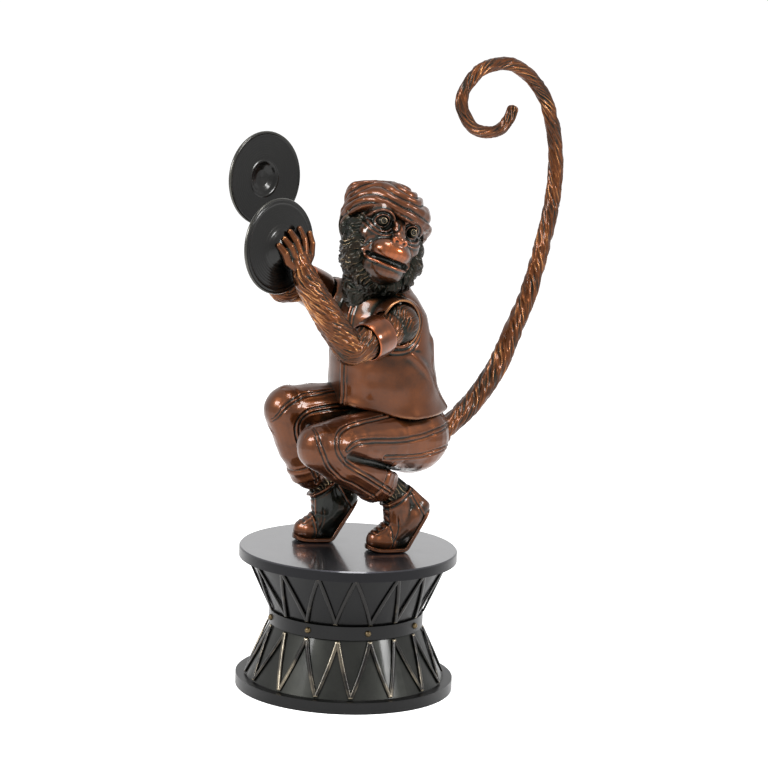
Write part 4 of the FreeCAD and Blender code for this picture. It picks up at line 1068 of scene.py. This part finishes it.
def makeFace():
    parts = [ball(0, 4, 8, 38.5), ball(0, -37, -23, 17, (1.22, 1.0, 0.78)),
             ball(0, -24, -36, 24, (1.0, 1.0, 0.85)), ball(0, -32, -42, 15.5, (1.25, 1, 0.74)),
             ball(0, -8, -20, 33, (0.98, 1, 0.9))]
    for side in (-1, 1):
        parts += [ball(side * 14, -22, 13, 16), ball(side * 17, -19, -9, 16.5),
                  ball(side * 14.5, -18, -27, 16.5), ball(side * 4.6, -51.5, -12.6, 3.9)]
    parts += ballChain([(0, -33, 6, 6), (0, -45, -6, 5.6), (0, -51, -11.6, 5)])
    piece = castSkin(parts, "face", 0.75, 16)
    places, normals = readMesh(piece)
    x, y, z = places.T
    front = normals[:, 1] < 0.1
    lift = np.zeros(len(places))
    for ex, _, ez in eyeSpots:
        gap = np.hypot((x - ex) * 0.94, (z - ez) * 1.12)
        low = smoothStep((ez + 2 - z) / 4)
        high = 1 - low
        rim = (-4.2 * bump(gap, 5.4) + 1.5 * bump(gap - 6.2, 1.1) - 1.3 * bump(gap - 8.6, 1.3)
               + 0.9 * (1 + high) * bump(gap - 11.4, 1.5) - 1.0 * low * bump(gap - 13.6, 1.2)
               + 0.8 * low * bump(gap - 15.8, 1.4))
        lift += np.where(front & (y < -14), rim, 0)
        # nostrils
        hole = nearLine(places, [(np.sign(ex) * 4.4, -58, -15.2), (np.sign(ex) * 3.8, -47, -13.2)])[0]
        lift -= np.where(front, 2.6 * bump(hole, 1.6), 0)
        curl = np.linalg.norm(places - np.array([np.sign(ex) * 23.5, -34, -28.5]), axis=1)
        lift += 0.6 * bump(curl, 3.5)
        fold = nearLine(places, smoothLine([(np.sign(ex) * 8, -46, -11), (np.sign(ex) * 17, -41, -13),
                                            (np.sign(ex) * 23, -34, -18), (np.sign(ex) * 25, -27, -26)]))[0]
        lift += 0.5 * bump(fold - 3.0, 1.4) * (z < 0) - 1.4 * bump(fold, 1.4)
    flat = places * np.array([1, 0, 1])
    ahead = (normals[:, 1] < 0.3) & (y < -24)
    lips = np.where(ahead, nearLine(flat, smoothLine(np.array(mouthLine) * (1, 0, 1)))[0], 30)
    lower = np.where(ahead, nearLine(flat, smoothLine(np.array(lowerLip) * (1, 0, 1)))[0], 30)
    lift += -4.2 * bump(lips, 1.7) + 1.4 * bump(lower, 1.3)
    lift += 0.3 * wander(places, 9, 6.0)
    swell(piece, lift)
    wear = markWear(piece, (2, 12))
    places = readMesh(piece)[0]
    x, y, z = places.T
    # the rubbed orange of the upper lip, and green-black hollows about the eyes
    muzzle = np.exp(-((x / 20) ** 2 + ((y + 50) / 19) ** 2 + ((z + 24) / 9.5) ** 2) ** 2)
    sockets = sum(bump(np.hypot(x - ex, z - ez), 11) for ex, _, ez in eyeSpots)
    chin = smoothStep((-36 - z) / 6)
    nose = bump(np.linalg.norm((places - np.array([0, -52, -12])) * np.array([0.8, 1, 1]), axis=1), 7)
    markTint(piece, 1.25 * muzzle - 0.75 - 1.0 * sockets * (y < -10) - 1.5 * bump(lips, 2.2) - 0.3 * chin
             + 0.3 * nose - 0.7 * np.clip(wear - 1.5, 0, None))
    dress(turnHead(piece), "figure", "bronze_chestnut", ember, "head", "muzzle")


def makeEyes():
    balls = []
    for ex, ey, ez in eyeSpots:
        bpy.ops.mesh.primitive_uv_sphere_add(segments=64, ring_count=48, radius=5.6 * mm,
                                             rotation=(math.radians(90), 0, 0))
        eye = settle(newPiece("eye"))
        places = readMesh(eye)[0]
        gap = np.hypot(places[:, 0], places[:, 2])
        swell(eye, (places[:, 1] < 0) * (0.3 * bump(gap - 2.9, 0.45) - 0.35 * bump(gap - 2.2, 0.4)
                                         - 0.45 * bump(gap, 0.8)))
        eye.location = Vector((ex, ey, ez)) * mm
        balls.append(settle(eye))
    piece = joinAll(balls, "eyes")
    markWear(piece, (2, 8))
    markTint(piece, np.full(len(piece.data.vertices), -0.1))
    dress(turnHead(piece), "figure", "bronze_fur", darkFur, "eyes")


def makeRuff():
    parts = [ball(0, 7, 5, 40), ball(0, 12, -22, 32), ball(0, -20, -50, 13, (1.2, 1, 1)),
             ball(0, -8, -44, 22)]
    for side in (-1, 1):
        parts += [ball(side * 29, -9, -8, 14), ball(side * 30, -15, -24, 14.5),
                  ball(side * 26, -17, -38, 13.5),
                  ball(side * 14, -21, -49, 12.5)]
    parts += ballChain([(0, 3, -34, 26), (2, 9, -52, 23), (6, 11, -60, 22)])
    piece = castSkin(parts, "ruff", 0.8, 4)
    places = readMesh(piece)[0]
    x, y, z = places.T
    turn = np.arctan2(x, -(z + 8)) + 0.12 * wander(places, 12, 2.0)
    reach = np.hypot(x, z + 8) * 0.6 + y
    locks = ridged(strands(turn, reach, 12.0, 14, 4.0))
    fine = ridged(strands(turn, reach, 26.0, 9, 6.0))
    lift = 1.5 * locks + 1.1 * fine - 1.4
    # small round ears half lost in the hair
    for side in (-1, 1):
        gap = np.hypot(y - 3, (z + 3) * 0.82)
        ear = (x * side > 24) * smoothStep((13 - gap) / 3)
        shell = 2.6 * bump(gap - 9.5, 1.8) - 1.4 * bump(gap, 5.5) + 1.4
        lift = lift * (1 - ear) + shell * ear
    swell(piece, lift)
    markWear(piece, (2, 10))
    dress(turnHead(piece), "figure", "bronze_fur", darkFur, "ruff", "neck")


turbanEdge = [(-180, -10), (-140, -9), (-105, -5), (-85, 1), (-65, 8), (-45, 15), (-25, 19), (-10, 16.5),
              (0, 13.5), (15, 12.5), (35, 13.5), (60, 13), (85, 7), (110, -2), (140, -8), (180, -10)]


def makeTurban():
    parts = [ball(1.5, 3, 10, 45, (1.0, 1.0, 0.92)), ball(-21, 12, 29, 22, (1, 1, 0.9)), ball(1, 2, 4, 43)]
    piece = castSkin(parts, "turban", 0.85, 8)
    places = readMesh(piece)[0]
    # the wraps end in a flat, slanting crown
    crown = np.array([-0.33, 0.12, 0.94])
    over = places @ crown / np.linalg.norm(crown) - 50.5
    places = places - np.where(over > 0, over * 0.85, 0)[:, None] * crown
    writeMesh(piece, places)
    places = readMesh(piece)[0]
    off = places - np.array([0, 4, 8])
    away = off / np.linalg.norm(off, axis=1)[:, None]
    azimuth = np.arctan2(away[:, 0], -away[:, 1])
    edge = np.interp(np.degrees(azimuth), *np.array(turbanEdge, float).T)
    rise = np.clip((edge - 8) / 46, -1, 1)
    flat = np.sqrt(1 - rise ** 2)
    rim = np.stack([np.sin(azimuth) * flat, -np.cos(azimuth) * flat, rise], axis=1)
    pole = np.array([-0.42, 0.32, 0.85])
    pole /= np.linalg.norm(pole)
    here = np.arccos(np.clip(away @ pole, -1, 1))
    there = np.arccos(np.clip(rim @ pole, -1, 1))
    share = 1 - here / there
    sweep = 0.7 * np.sin(2.2 * azimuth + 0.9) * np.sin(np.pi * np.clip(share, 0, 1))
    phase = share * 7.0 + sweep + 0.7 * wander(places, 24, 3.0)
    roll = np.abs(np.sin(np.pi * phase)) ** 0.6
    below = smoothStep((edge - places[:, 2]) / 4.5)
    lift = (4.2 * roll - 2.6) * (1 - below) - 11 * below + 0.5 * wander(places, 10, 5.0)
    swell(piece, lift)
    wear = markWear(piece, (2, 10))
    edgeLine = np.abs(edge - places[:, 2]) < 6
    markTint(piece, -0.3 - 0.9 * np.clip(wear - 1.0, 0, None) * edgeLine)
    dress(turnHead(piece), "figure", "bronze_chestnut", chestnut, "turban")


makeFace()
makeEyes()
makeRuff()
makeTurban()
print("head is ready")


# lacing on the drum

def makeLacing(name, lowRadius, highRadius, bottom, height, firstTurn, node, jitter):
    # rounded strap, zigzag between the rim and the waist band, each point a little off its place
    steps = 32
    halfTurn = 360 / steps
    straps = []
    for step in range(steps):
        ends = []
        for k in (step, step + 1):
            turn = math.radians(firstTurn + halfTurn * k + jitter[k % len(jitter)])
            low = k % 2 == 0
            ends.append((turn, lowRadius if low else highRadius, bottom if low else bottom + height))
        straps.append(oneStrap(ends))
    piece = joinAll(straps, name)
    markWear(piece, (1, 3))
    markTint(piece, np.full(len(piece.data.vertices), -0.35 if node == "upper_lacing" else 0.1))
    dress(piece, "figure", "bronze_dark", laceBronze, node)


def oneStrap(ends):
    (turnA, radiusA, zA), (turnB, radiusB, zB) = ends

    def shape(u, v):
        turn = turnA + (turnB - turnA) * v
        radius = radiusA + (radiusB - radiusA) * v
        z = zA + (zB - zA) * v
        slope = math.atan2(radiusB - radiusA, zB - zA)
        close = np.clip(np.minimum(v, 1 - v) * 60, 0, 1) ** 0.5
        cross, rise = squarish(2 * np.pi * u, 0.8)
        wide = 1.9 * close
        lift = 0.25 + 1.25 * (1 + rise) * close
        arc = abs(turnB - turnA) * (radiusA + radiusB) / 2
        rough = math.hypot(arc, zB - zA)
        side = cross * wide
        dTurn = side * abs(zB - zA) / rough / radius * np.sign(turnB - turnA)
        dz = -side * arc / rough * np.sign(zB - zA)
        reach = radius + (dz * math.tan(slope)) + lift
        return np.stack([reach * np.cos(turn + dTurn), reach * np.sin(turn + dTurn), z + dz], axis=1)
    return gridSkin("strap", 20, 60, shape)


jitters = [0.8, -1.6, -0.6, 1.4, 1.9, -0.4, -1.8, 0.6, 0.2, -1.1, 1.3, 0.5, -1.4, 1.7, -0.3, -0.9]
makeLacing("lowerLacing", 98, 75.2, 12.6, 51.6, 11.25, "lower_lacing", jitters)
makeLacing("upperLacing", 75.4, 98, 79.6, 50.6, 0, "upper_lacing", jitters[5:] + jitters[:5])
print("lacing is ready")
